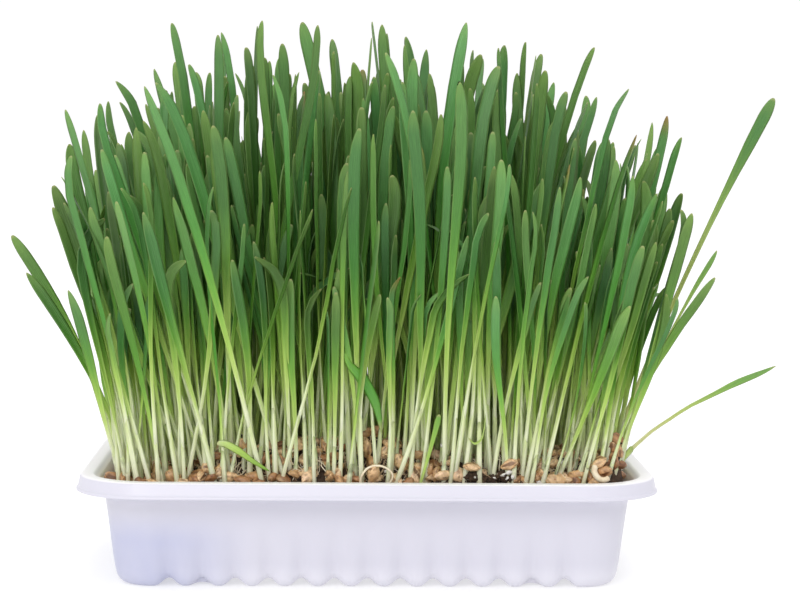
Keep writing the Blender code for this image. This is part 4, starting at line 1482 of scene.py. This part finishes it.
def build_crumbs(soil, perlite):
    """Crumbs of soil and white perlite on the bed."""
    rng = random.Random(CRUMB_SEED)
    crumbs, white = Shape("tone", "seed"), Shape("tone", "seed")
    for shape, kind, lift in ((crumbs, CRUMBS, CRUMB_LIFT), (white, PERLITE, PERLITE_LIFT)):
        for _ in range(kind.count):
            spot = strewn_place(rng, kind)
            if spot:
                size = rng.uniform(*kind.sizes)
                add_crumb(shape, rng, (*spot, bed_height(*spot) + lift * size), size, rng.random())
    for *place, size in BIG_PERLITE:
        add_crumb(white, rng, place, size, BIG_PERLITE_TONE)
    for *centre, size in CLODS:
        add_crumb(crumbs, rng, centre, size, rng.random())
        for _ in range(CRUMBS_ON_A_CLOD):
            way = Vector([rng.gauss(mean, spread) for mean, spread in CLOD_CRUMB_WAYS]).normalized()
            place = Vector(centre) + way * size * rng.uniform(*CLOD_CRUMB_REACH)
            add_crumb(crumbs, rng, tuple(place), rng.uniform(*CLOD_CRUMB_SIZES), rng.random())
    crumbs.make("soil_crumbs", soil)
    white.make("perlite", perlite)


def add_thread(shape, path, radii, sides, **values):
    """Add a closed round thread along a path."""
    path = np.array(path, dtype=float)
    rise = unit(np.gradient(path, axis=0))
    first = unit(np.cross(rise, THREAD_GUIDE))
    angles = TURN * np.arange(sides) / sides
    round_x, round_y = np.outer(radii, np.cos(angles)), np.outer(radii, np.sin(angles))
    points = sweep(path, first, np.cross(rise, first), round_x, round_y)
    shape.add(points, tube_faces(len(path), sides), **values)


def add_root(shape, rng, x, y, steps, stride, arch, radius):
    """Add one root that wanders over the bed from a place."""
    heading = rng.uniform(0.0, TURN)
    path = []
    for step in range(steps):
        part = step / (steps - 1)
        if inside_outline(x, y, ROOT_INSET):
            path.append((x, y, bed_height(x, y) + ROOT_LIFT + arch * math.sin(math.pi * part)))
        heading += rng.gauss(0.0, ROOT_WANDER)
        x += math.cos(heading) * stride
        y += math.sin(heading) * stride
    if len(path) >= SHORTEST_ROOT:
        radii = radius * np.linspace(1.0, ROOT_THINNING, len(path))
        add_thread(shape, path, radii, ROOT_SIDES, tone=rng.random(), seed=rng.uniform(0.0, OTHER_SEEDS))


def build_roots(material):
    """Thin whitish roots on the bed, tangled more finely along the front."""
    rng = random.Random(ROOT_SEED)
    shape = Shape("tone", "seed")
    for kind, steps, stride, arches in ROOT_KINDS:
        for _ in range(kind.count):
            spot = strewn_place(rng, kind)
            if spot:
                arch = rng.uniform(*arches)
                add_root(shape, rng, *spot, steps, stride, arch, rng.uniform(*kind.sizes))
    shape.make("root_threads", material)


# Small things near the front rim, as the photograph shows them. A ribbon is its path, its
# widths, the direction that it faces across, and how ripe its green is at both ends.
RIBBONS = (
    # A bright leaf, bent over to the right.
    (
        (
            (-32.0, -55.6, 38.8),
            (-37.5, -56.2, 42.2),
            (-42.5, -56.4, 45.8),
            (-46.6, -56.2, 47.8),
            (-49.0, -56.0, 47.7),
        ),
        (0.6, 1.6, 2.5, 2.3, 1.5),
        (-0.35, -0.1, -0.93),
        (0.42, 0.02),
    ),
    # A dark leaf, folded down from its bend.
    (
        (
            (-8.8, -55.4, 79.5),
            (-6.6, -56.4, 74.0),
            (-2.0, -57.2, 68.8),
            (2.2, -57.0, 61.0),
            (4.2, -56.0, 51.5),
        ),
        (1.0, 2.2, 4.0, 3.1, 0.5),
        (0.9, 0.0, 0.4),
        (0.35, 1.0),
    ),
    # A short stub with a pale, cut tip.
    (
        (
            (16.4, -54.6, 33.0),
            (18.6, -55.2, 41.0),
            (20.8, -55.6, 49.4),
            (22.2, -55.8, 55.0),
            (22.8, -55.8, 57.6),
        ),
        (0.9, 1.0, 1.5, 2.1, 1.3),
        (0.97, 0.0, -0.24),
        (0.08, 0.62),
    ),
    # A pale leaf, curled at its end.
    (
        (
            (38.2, -54.0, 61.0),
            (37.6, -54.6, 54.0),
            (36.6, -55.2, 49.4),
            (34.2, -55.2, 48.0),
            (32.4, -54.8, 49.8),
        ),
        (0.7, 1.2, 1.3, 1.2, 0.5),
        (0.0, 0.8, 0.6),
        (0.14, 0.16),
    ),
)

# A thread is its path, its radius at both ends, and its tone.
LOOSE_THREADS = (
    # A pale shoot that curls out of its grain.
    (
        (
            (73.9, -53.4, 41.0),
            (73.5, -54.0, 39.0),
            (74.7, -54.6, 36.9),
            (76.6, -54.8, 36.3),
            (78.3, -54.6, 37.0),
        ),
        (1.1, 0.9),
        0.72,
    ),
    # A root that loops over a fallen grain.
    (
        (
            (-2.6, -55.6, 33.6),
            (-2.3, -56.2, 37.2),
            (0.0, -56.4, 40.2),
            (3.8, -56.4, 40.8),
            (7.0, -56.2, 39.2),
            (7.8, -55.8, 36.8),
            (6.0, -55.2, 33.8),
        ),
        (0.42, 0.3),
        0.75,
    ),
    # A root that hangs from a raised grain.
    (
        (
            (-23.5, -49.6, 45.6),
            (-25.6, -50.4, 43.2),
            (-24.6, -50.8, 40.6),
            (-21.8, -50.8, 39.0),
            (-20.6, -50.6, 36.6),
        ),
        (0.3, 0.14),
        0.6,
    ),
)


RIBBON_STEPS = 5
RIBBON_ENDS = (0.15, 9.0)
RIBBON_FOLD = 0.3
RIBBON_PART = 0.4
RIBBON_LENGTH = 30.0
RIBBON_TIP_ZONE = (0.45, 0.93)


def add_ribbon(shape, rng, path, widths, facing, ripeness):
    """Add a bit of leaf along a path."""
    line = curve_through(path, RIBBON_STEPS)
    parts = np.linspace(0.0, 1.0, len(line))
    half_width = np.interp(parts, np.linspace(0.0, 1.0, len(widths)), widths) / 2.0
    from_end = np.minimum(parts, 1.0 - parts)
    half_width *= np.minimum(1.0, from_end * RIBBON_ENDS[1] + RIBBON_ENDS[0]) ** 0.5
    across, front = frames_along(line, np.array([facing]))
    leaf_y = RIBBON_FOLD * np.outer(half_width, LEAF_EDGE) + LEAF_SKIN
    tip = np.clip((parts - RIBBON_TIP_ZONE[0]) / (RIBBON_TIP_ZONE[1] - RIBBON_TIP_ZONE[0]), 0.0, 1.0)
    shape.add(
        sweep(line, across, front, np.outer(half_width, LEAF_ACROSS), leaf_y),
        tube_faces(len(line), SIDE_COUNT),
        across=np.tile(LEAF_ACROSS, len(line)),
        along=np.repeat(RIBBON_LENGTH * parts, SIDE_COUNT),
        part=RIBBON_PART,
        ripe=np.repeat(np.interp(parts, (0.0, 1.0), ripeness), SIDE_COUNT),
        hue=rng.uniform(0.4, 0.7),
        seed=rng.uniform(0.0, LEAF_SEEDS),
        tip=np.repeat(tip, SIDE_COUNT),
        dark=rng.random(),
    )


def build_loose_bits(leaf, root):
    """Bent bits of leaf, the curled shoot and the loops of root near the front rim."""
    rng = random.Random(LOOSE_BITS_SEED)
    bits = Shape(*SEEDLING_VALUES)
    for path, widths, facing, ripeness in RIBBONS:
        add_ribbon(bits, rng, path, widths, facing, ripeness)
    bits.make("bent_leaf_bits", leaf)
    threads = Shape("tone", "seed")
    for path, (start, end), tone in LOOSE_THREADS:
        line = curve_through(path, THREAD_STEPS)
        radii = np.linspace(start, end, len(line))
        radii[[0, -1]] *= THREAD_ENDS
        add_thread(threads, line, radii, THREAD_SIDES, tone=tone, seed=rng.uniform(0.0, OTHER_SEEDS))
    threads.make("curled_shoot_and_root_loops", root)


# Materials. A ramp is a row of stops, each with its position and its colour.

# Greens of a blade low down and high up, from dark to light.
FULL_GREENS = ((0.0, (0.052, 0.172, 0.022)), (0.5, (0.098, 0.315, 0.036)), (1.0, (0.170, 0.470, 0.062)))
GREY_GREENS = ((0.0, (0.062, 0.140, 0.042)), (0.5, (0.112, 0.250, 0.072)), (1.0, (0.205, 0.405, 0.138)))
GREY_ZONE = (0.5, 0.95)

# A blade is painted lighter towards its tip, as painted light where the light reaches it, and painted darker
# in its middle, as painted shade from the blades around it.
BLADE_PAINTED_LIGHT_AND_SHADE = (
    (0.35, (1.00, 1.02, 0.98)),
    (0.62, (0.83, 0.87, 0.80)),
    (0.80, (0.86, 0.92, 0.78)),
    (0.97, (1.12, 1.15, 0.94)),
)

# Some blades are more olive and others more blue.
BLADE_TINTS = ((0.0, (1.16, 1.0, 0.78)), (0.45, (1.0, 1.0, 1.0)), (1.0, (0.78, 1.02, 1.14)))

# A seedling from its white foot to where it is fully green.
GROWTH_COLORS = (
    (0.0, (0.88, 0.90, 0.74)),
    (0.05, (0.76, 0.82, 0.50)),
    (0.12, (0.58, 0.72, 0.24)),
    (0.26, (0.45, 0.64, 0.13)),
    (0.55, (0.27, 0.52, 0.065)),
)
GREENING = (0.16, 0.88)
FOOT_COLORS = ((0.0, (0.88, 0.87, 0.70)), (0.7, (0.80, 0.77, 0.54)), (1.0, (0.66, 0.50, 0.32)))
FOOT_SHARE = 0.8
VEINS = 21.0
# Veins are paler by this tint, and the same tint paints a highlight along the middle rib.
PALE_VEIN_AND_RIB_HIGHLIGHT_TINT = (1.16, 1.12, 1.14)
VEIN_SHARE = 0.35
RIB_HIGHLIGHT_EDGES = (0.16, 0.0)
RIB_HIGHLIGHT_SHARE = 0.35
MARGIN_EDGES = (0.8, 1.0)
MARGIN_SHARE = 0.55
MARGIN_COLOR = (0.30, 0.46, 0.13)
STREAK_SHADES = ((0.3, (0.82, 0.82, 0.82)), (0.7, (1.12, 1.12, 1.12)))
TIP_COLOR = (0.32, 0.47, 0.12)
TIP_EDGES = (0.1, 1.0)
TIP_SHARE = 0.33
POINT_COLOR = (0.52, 0.50, 0.22)
POINT_EDGES = (0.86, 0.99)
POINT_SHARE = 0.6
DRIED_COLOR = (0.40, 0.20, 0.06)
DRIED_SHARE = 0.95
LIGHT_THROUGH = (1.08, 1.12, 0.75)
THROUGH_SHARE = 0.3

# The plastic's colours, and the heights and widths in metres between which they change.
PLASTIC_COLOR = (0.590, 0.580, 0.662)
# The feet are painted lighter, as painted light from the floor.
FEET_PAINTED_LIGHT_COLOR = (0.665, 0.655, 0.730)
FEET_PAINTED_LIGHT_EDGES = (0.0090, 0.0025)
COOL_COLOR = (0.455, 0.468, 0.625)
COOL_EDGES_X = (-0.034, -0.068)
COOL_EDGES_Z = (0.027, 0.014)
# The wall just under the rim is painted lighter between these heights, as painted light over the rim's
# shadow.
UNDER_RIM_PAINTED_LIGHT_COLOR = (0.720, 0.708, 0.805)
UNDER_RIM_PAINTED_LIGHT_EDGES = (0.0255, 0.0300)
BELOW_RIM_EDGES = (0.0306, 0.0302)
# Inside, the wall is warmer, with painted shade towards the right end.
LINING_SHADE_COLORS = ((0.790, 0.735, 0.735), (0.610, 0.545, 0.545))
LINING_SHADE_EDGES = (-0.070, 0.070)
# The rim's top is painted whiter, as painted light from above.
RIM_TOP_PAINTED_LIGHT_COLOR = (0.930, 0.900, 0.950)
RIM_TOP_PAINTED_LIGHT_EDGES = (0.0354, 0.0360)

SOIL_COLORS = (
    (0.3, (0.014, 0.008, 0.005)),
    (0.5, (0.045, 0.025, 0.014)),
    (0.64, (0.095, 0.050, 0.026)),
    (0.78, (0.17, 0.100, 0.055)),
)
PERLITE_COLORS = ((0.3, (0.42, 0.36, 0.29)), (0.52, (0.72, 0.70, 0.66)), (0.8, (0.86, 0.86, 0.84)))
HUSK_COLORS = (
    (0.15, (0.21, 0.088, 0.040)),
    (0.32, (0.45, 0.225, 0.100)),
    (0.52, (0.68, 0.425, 0.210)),
    (0.72, (0.90, 0.660, 0.400)),
    (0.92, (0.85, 0.580, 0.450)),
)
GERM_COLOR = (0.66, 0.48, 0.27)
# The painted shade of the crease, the wrinkles' valleys and the furrows.
CREASE_SHADE_COLOR = (0.12, 0.045, 0.016)
HUSK_SHADES = ((0.3, (0.74, 0.70, 0.66)), (0.65, (1.08, 1.07, 1.06)))
ROOT_COLORS = (
    (0.2, (0.26, 0.14, 0.07)),
    (0.42, (0.56, 0.40, 0.24)),
    (0.6, (0.76, 0.66, 0.48)),
    (0.9, (0.84, 0.82, 0.70)),
)


class Nodes:
    """A material's shader tree, with short calls for the nodes that are used here."""

    def __init__(self, name):
        self.material = bpy.data.materials.new(name)
        self.material.use_nodes = True
        self.tree = self.material.node_tree
        self.shader = self.tree.nodes["Principled BSDF"]

    def new(self, kind, **settings):
        node = self.tree.nodes.new(kind)
        for name, value in settings.items():
            setattr(node, name, value)
        return node

    def fill(self, socket, item):
        """Give a socket a number or a colour, or link it to another node's output."""
        if isinstance(item, float):
            socket.default_value = item
        elif isinstance(item, tuple):
            socket.default_value = (*item, 1.0)
        else:
            self.tree.links.new(item, socket)

    def value(self, name):
        """A float that the mesh holds under this name."""
        return self.new("ShaderNodeAttribute", attribute_name=name).outputs["Fac"]

    def place(self):
        """A point's own place on the object."""
        return self.new("ShaderNodeTexCoord").outputs["Object"]

    def math(self, operation, *items):
        node = self.new("ShaderNodeMath", operation=operation)
        for socket, item in zip(node.inputs, items):
            self.fill(socket, item)
        return node.outputs["Value"]

    def times(self, first, second):
        return self.math("MULTIPLY", first, second)

    def weighted(self, first, first_share, second, second_share):
        """The sum of two values, each times its share."""
        return self.math("ADD", self.times(first, first_share), self.times(second, second_share))

    def between(self, value, edges, kind="SMOOTHSTEP"):
        """0 where the value is at the first edge, 1 where it is at the second."""
        node = self.new("ShaderNodeMapRange", interpolation_type=kind)
        for name, item in zip(("Value", "From Min", "From Max"), (value, *edges)):
            self.fill(node.inputs[name], item)
        return node.outputs["Result"]

    def ramp(self, factor, stops):
        node = self.new("ShaderNodeValToRGB")
        elements = node.color_ramp.elements
        while len(elements) < len(stops):
            elements.new(0.5)
        for element, (position, color) in zip(elements, stops):
            element.position = position
            element.color = (*color, 1.0)
        self.fill(node.inputs["Fac"], factor)
        return node.outputs["Color"]

    def mix(self, factor, first, second, blend="MIX"):
        node = self.new("ShaderNodeMix", data_type="RGBA", blend_type=blend)
        for index, item in ((0, factor), (6, first), (7, second)):
            self.fill(node.inputs[index], item)
        return node.outputs[2]

    def tinted(self, color, tint):
        return self.mix(1.0, color, tint, "MULTIPLY")

    def noise(self, vector, scale, detail, roughness):
        node = self.new("ShaderNodeTexNoise")
        items = {"Vector": vector, "Scale": scale, "Detail": detail, "Roughness": roughness}
        for name, item in items.items():
            self.fill(node.inputs[name], item)
        return node.outputs["Fac"]

    def stretched_noise(self, across, along, seed, scale, detail, roughness):
        """Noise in a leaf's own coordinates across and along, shifted by its seed."""
        vector = self.new("ShaderNodeCombineXYZ")
        for socket, item in zip(vector.inputs, (across, along, seed)):
            self.fill(socket, item)
        return self.noise(vector.outputs["Vector"], scale, detail, roughness)

    def bump(self, height, strength, distance):
        node = self.new("ShaderNodeBump")
        for name, item in (("Height", height), ("Strength", strength), ("Distance", distance)):
            self.fill(node.inputs[name], item)
        self.fill(self.shader.inputs["Normal"], node.outputs["Normal"])
        return node.outputs["Normal"]

    def surface(self, color, **settings):
        """Set the shader's colour and its plain settings."""
        self.fill(self.shader.inputs["Base Color"], color)
        for name, value in settings.items():
            self.shader.inputs[name.replace("_", " ")].default_value = value


def leaf_color(nodes, across, seed, vein, streak):
    """Colour of a seedling from its foot to its tip."""
    along = nodes.value("along")
    ripe = nodes.value("ripe")
    tip = nodes.value("tip")
    dark = nodes.value("dark")

    # Patches are stretched along the blade. Lower down it is a fuller green, and higher greyer.
    long_patch = nodes.times(along, 0.05)
    mottle = nodes.stretched_noise(nodes.times(across, 1.6), long_patch, seed, 2.2, 4.0, 0.6)
    variety = nodes.weighted(nodes.value("hue"), 0.75, mottle, 0.25)
    upper = nodes.between(nodes.value("part"), GREY_ZONE)
    deep = nodes.mix(upper, nodes.ramp(variety, FULL_GREENS), nodes.ramp(variety, GREY_GREENS))
    # Painted light towards the tip and painted shade in the middle of the blade.
    deep = nodes.tinted(deep, nodes.ramp(nodes.value("part"), BLADE_PAINTED_LIGHT_AND_SHADE))
    deep = nodes.tinted(deep, nodes.ramp(dark, BLADE_TINTS))

    # The green starts in patches, and later at the edges than in the middle.
    edge = nodes.math("ABSOLUTE", across)
    from_middle = nodes.math("MULTIPLY_ADD", edge, -0.10, 0.05)
    patchy = nodes.math("MULTIPLY_ADD", nodes.math("SUBTRACT", mottle, 0.5), 0.20, from_middle)
    early = nodes.times(patchy, nodes.math("MINIMUM", nodes.times(ripe, 10.0), 1.0))
    growth = nodes.math("ADD", ripe, early)
    color = nodes.mix(nodes.between(growth, GREENING), nodes.ramp(growth, GROWTH_COLORS), deep)

    # The feet of the stems are whitish, and some are tinged with pink or brown.
    color = nodes.mix(nodes.times(nodes.value("base"), FOOT_SHARE), color, nodes.ramp(dark, FOOT_COLORS))

    # Veins, a painted highlight along the middle rib, and the pale margins.
    light = nodes.tinted(color, PALE_VEIN_AND_RIB_HIGHLIGHT_TINT)
    color = nodes.mix(nodes.times(vein, VEIN_SHARE), color, light)
    rib = nodes.between(edge, RIB_HIGHLIGHT_EDGES, "LINEAR")
    color = nodes.mix(nodes.times(rib, RIB_HIGHLIGHT_SHARE), color, light)
    margin = nodes.between(edge, MARGIN_EDGES, "LINEAR")
    color = nodes.mix(nodes.times(margin, MARGIN_SHARE), color, MARGIN_COLOR)
    color = nodes.tinted(color, nodes.ramp(streak, STREAK_SHADES))

    # Tips are edged with straw yellow, and a few have dried brown.
    color = nodes.mix(nodes.times(nodes.between(tip, TIP_EDGES), TIP_SHARE), color, TIP_COLOR)
    color = nodes.mix(nodes.times(nodes.between(tip, POINT_EDGES), POINT_SHARE), color, POINT_COLOR)
    dried = nodes.times(nodes.value("brown"), nodes.math("POWER", tip, 1.5))
    return nodes.mix(nodes.times(dried, DRIED_SHARE), color, DRIED_COLOR)


def leaf_material():
    """Green blades on pale stems, with veins, pale margins and pale tips."""
    nodes = Nodes("wheatgrass_fine")
    across = nodes.value("across")
    seed = nodes.value("seed")
    fine = nodes.times(nodes.value("along"), 0.12)
    streak = nodes.stretched_noise(nodes.times(across, 9.0), fine, seed, 1.7, 2.0, 0.5)
    vein = nodes.math("MULTIPLY_ADD", nodes.math("SINE", nodes.times(across, VEINS)), 0.5, 0.5)
    color = leaf_color(nodes, across, seed, vein, streak)
    nodes.surface(color, Roughness=0.36, Metallic=0.0, Specular_IOR_Level=0.45)
    normal = nodes.bump(nodes.math("ADD", vein, streak), 0.22, 0.0002)

    # Some light passes through.
    through = nodes.new("ShaderNodeBsdfTranslucent")
    nodes.fill(through.inputs["Color"], nodes.tinted(color, LIGHT_THROUGH))
    nodes.fill(through.inputs["Normal"], normal)
    both = nodes.new("ShaderNodeMixShader")
    for socket, item in zip(both.inputs, (THROUGH_SHARE, nodes.shader.outputs[0], through.outputs[0])):
        nodes.fill(socket, item)
    nodes.fill(nodes.tree.nodes["Material Output"].inputs["Surface"], both.outputs[0])
    return nodes.material


def plastic_material():
    """White moulded plastic, cooler at its lower left, with painted light on the rim's top, under the rim and
    at the feet, and painted shade inside towards the right end.
    """
    nodes = Nodes("white_plastic_fine")
    place = nodes.place()
    split = nodes.new("ShaderNodeSeparateXYZ")
    nodes.fill(split.inputs["Vector"], place)
    x, _, z = split.outputs

    # Painted light from the floor makes the feet lighter.
    color = nodes.mix(nodes.between(z, FEET_PAINTED_LIGHT_EDGES), PLASTIC_COLOR, FEET_PAINTED_LIGHT_COLOR)
    low_left = nodes.times(nodes.between(x, COOL_EDGES_X), nodes.between(z, COOL_EDGES_Z))
    cloud = nodes.math("ADD", nodes.noise(place, 60.0, 3.0, 0.5), 0.4)
    color = nodes.mix(nodes.times(low_left, cloud), color, COOL_COLOR)
    # The wall just under the rim is painted lighter, as painted light over the shadow of the rim.
    under_rim_light = nodes.times(nodes.between(z, UNDER_RIM_PAINTED_LIGHT_EDGES), nodes.between(z, BELOW_RIM_EDGES, "LINEAR"))
    color = nodes.mix(under_rim_light, color, UNDER_RIM_PAINTED_LIGHT_COLOR)
    # Inside, the wall is warmer, and painted shade darkens it towards the right end.
    lining_shade = nodes.mix(nodes.between(x, LINING_SHADE_EDGES), *LINING_SHADE_COLORS)
    color = nodes.mix(nodes.value("inside"), color, lining_shade)
    # Painted light from above makes the rim's top whiter.
    color = nodes.mix(nodes.between(z, RIM_TOP_PAINTED_LIGHT_EDGES), color, RIM_TOP_PAINTED_LIGHT_COLOR)

    nodes.surface(
        color,
        Roughness=0.36,
        Metallic=0.0,
        Subsurface_Weight=0.12,
        Subsurface_Radius=(1.0, 0.9, 0.9),
        Subsurface_Scale=0.002,
    )
    nodes.bump(nodes.noise(place, 900.0, 3.0, 0.6), 0.06, 0.0002)
    return nodes.material


def soil_material():
    """Dark, damp growing medium with paler fibres."""
    nodes = Nodes("dark_soil_fine")
    place = nodes.place()
    grain = nodes.noise(place, 700.0, 6.0, 0.65)
    patch = nodes.noise(place, 120.0, 3.0, 0.5)
    color = nodes.ramp(nodes.weighted(grain, 0.65, patch, 0.35), SOIL_COLORS)
    nodes.surface(color, Roughness=0.93, Metallic=0.0)
    nodes.bump(grain, 0.7, 0.0008)
    return nodes.material


def perlite_material():
    """White perlite with a dusty bloom."""
    nodes = Nodes("perlite")
    grain = nodes.noise(nodes.place(), 900.0, 5.0, 0.6)
    nodes.surface(nodes.ramp(grain, PERLITE_COLORS), Roughness=0.85, Metallic=0.0)
    nodes.bump(grain, 0.6, 0.0005)
    return nodes.material


def grain_material():
    """Wheat husk, from straw to orange brown, with painted shade in the crease, between the wrinkles and in
    the furrows.
    """
    nodes = Nodes("wheat_grain")
    place = nodes.place()
    mottle = nodes.noise(place, 420.0, 4.0, 0.6)
    speck = nodes.noise(place, 1500.0, 4.0, 0.7)
    color = nodes.ramp(nodes.weighted(nodes.value("tone"), 0.6, mottle, 0.4), HUSK_COLORS)
    germ = nodes.times(nodes.math("POWER", nodes.value("germ"), 3.0), 0.5)
    color = nodes.mix(germ, color, GERM_COLOR)
    # Painted shade in the crease, between the wrinkles and in the furrows.
    color = nodes.mix(nodes.math("MINIMUM", nodes.value("fold"), 0.85), color, CREASE_SHADE_COLOR)
    color = nodes.tinted(color, nodes.ramp(speck, HUSK_SHADES))
    nodes.surface(
        color,
        Roughness=0.4,
        Metallic=0.0,
        Subsurface_Weight=0.1,
        Subsurface_Radius=(1.0, 0.5, 0.25),
        Subsurface_Scale=0.0012,
    )
    nodes.bump(speck, 0.3, 0.0003)
    return nodes.material


def root_material():
    """Whitish roots with a little soil on them."""
    nodes = Nodes("root_white")
    dirt = nodes.noise(nodes.place(), 500.0, 4.0, 0.6)
    color = nodes.ramp(nodes.weighted(nodes.value("tone"), 0.45, dirt, 0.55), ROOT_COLORS)
    nodes.surface(color, Roughness=0.5, Metallic=0.0)
    nodes.bump(dirt, 0.2, 0.0002)
    return nodes.material


def floor_material():
    """Plain white light table."""
    nodes = Nodes("studio_floor")
    white = (1.0, 1.0, 1.0, 1.0)
    nodes.surface(FLOOR_COLOR, Emission_Color=white, Emission_Strength=FLOOR_GLOW, Roughness=0.9)
    return nodes.material


# Studio. The camera and the lights are in metres.

FOCAL_LENGTH = 106.4
CAMERA_PLACE = (-0.0115, -0.815, 0.150)
CAMERA_TARGET = (0.0113, 0.0, 0.0895)
CAMERA_ROLL = 0.5
FLOOR_COLOR = (0.54, 0.54, 0.54)
FLOOR_GLOW = 0.48
FLOOR_HALF = 30.0
SKY_STRENGTH = 1.02

# Each soft box: its name, place, target, power and colour.
SOFT_BOX_SIZE = 1.0
SOFT_BOXES = (
    ("key_light", (-0.5, -1.45, 0.85), (0.0, 0.0, 0.08), 10.4, (1.0, 0.99, 0.97)),
    ("top_light", (0.3, 0.2, 1.6), (0.0, 0.0, 0.1), 8.0, (1.0, 1.0, 1.0)),
)


def stand(name, data, place, target, roll=0.0):
    """Put a camera or a light in the scene, turned towards a target."""
    thing = bpy.data.objects.new(name, data)
    bpy.context.scene.collection.objects.link(thing)
    aim = (Vector(target) - Vector(place)).to_track_quat("-Z", "Y")
    rolled = aim.to_matrix().to_4x4() @ Matrix.Rotation(math.radians(roll), 4, "Z")
    thing.matrix_world = Matrix.Translation(Vector(place)) @ rolled
    return thing


def build_camera():
    """The photograph's viewpoint."""
    data = bpy.data.cameras.new("camera")
    data.sensor_fit = "HORIZONTAL"
    data.sensor_width = 36.0
    data.lens = FOCAL_LENGTH
    data.clip_start = 0.01
    bpy.context.scene.camera = stand("camera", data, CAMERA_PLACE, CAMERA_TARGET, CAMERA_ROLL)


def build_studio():
    """White floor and sky, with one soft box at the front left and one above."""
    floor_mesh = bpy.data.meshes.new("floor")
    corners = [(x * FLOOR_HALF, y * FLOOR_HALF, 0.0) for x, y in ((-1, -1), (1, -1), (1, 1), (-1, 1))]
    floor_mesh.from_pydata(corners, [], [(0, 1, 2, 3)])
    floor_mesh.materials.append(floor_material())
    floor = bpy.data.objects.new("floor", floor_mesh)
    bpy.context.scene.collection.objects.link(floor)

    world = bpy.data.worlds.new("studio_sky")
    world.use_nodes = True
    background = world.node_tree.nodes["Background"]
    background.inputs["Color"].default_value = (1.0, 1.0, 1.0, 1.0)
    background.inputs["Strength"].default_value = SKY_STRENGTH
    bpy.context.scene.world = world

    for name, place, target, power, color in SOFT_BOXES:
        data = bpy.data.lights.new(name, "AREA")
        data.shape = "SQUARE"
        data.size = SOFT_BOX_SIZE
        data.energy = power
        data.color = color
        stand(name, data, place, target)
    bpy.context.scene.view_settings.view_transform = "Standard"


def build():
    """Build every visible piece."""
    tiles, thicket = draw_tiles()
    fillers = draw_fillers(tiles, thicket)
    draw_crossing(tiles, fillers, thicket)
    leaf = leaf_material()
    build_tufts(tiles, fillers, leaf)
    build_tray(plastic_material())
    soil = soil_material()
    build_bed(soil)
    build_grains(tiles, grain_material())
    build_crumbs(soil, perlite_material())
    root = root_material()
    build_roots(root)
    build_loose_bits(leaf, root)
    build_studio()
    build_camera()


build()
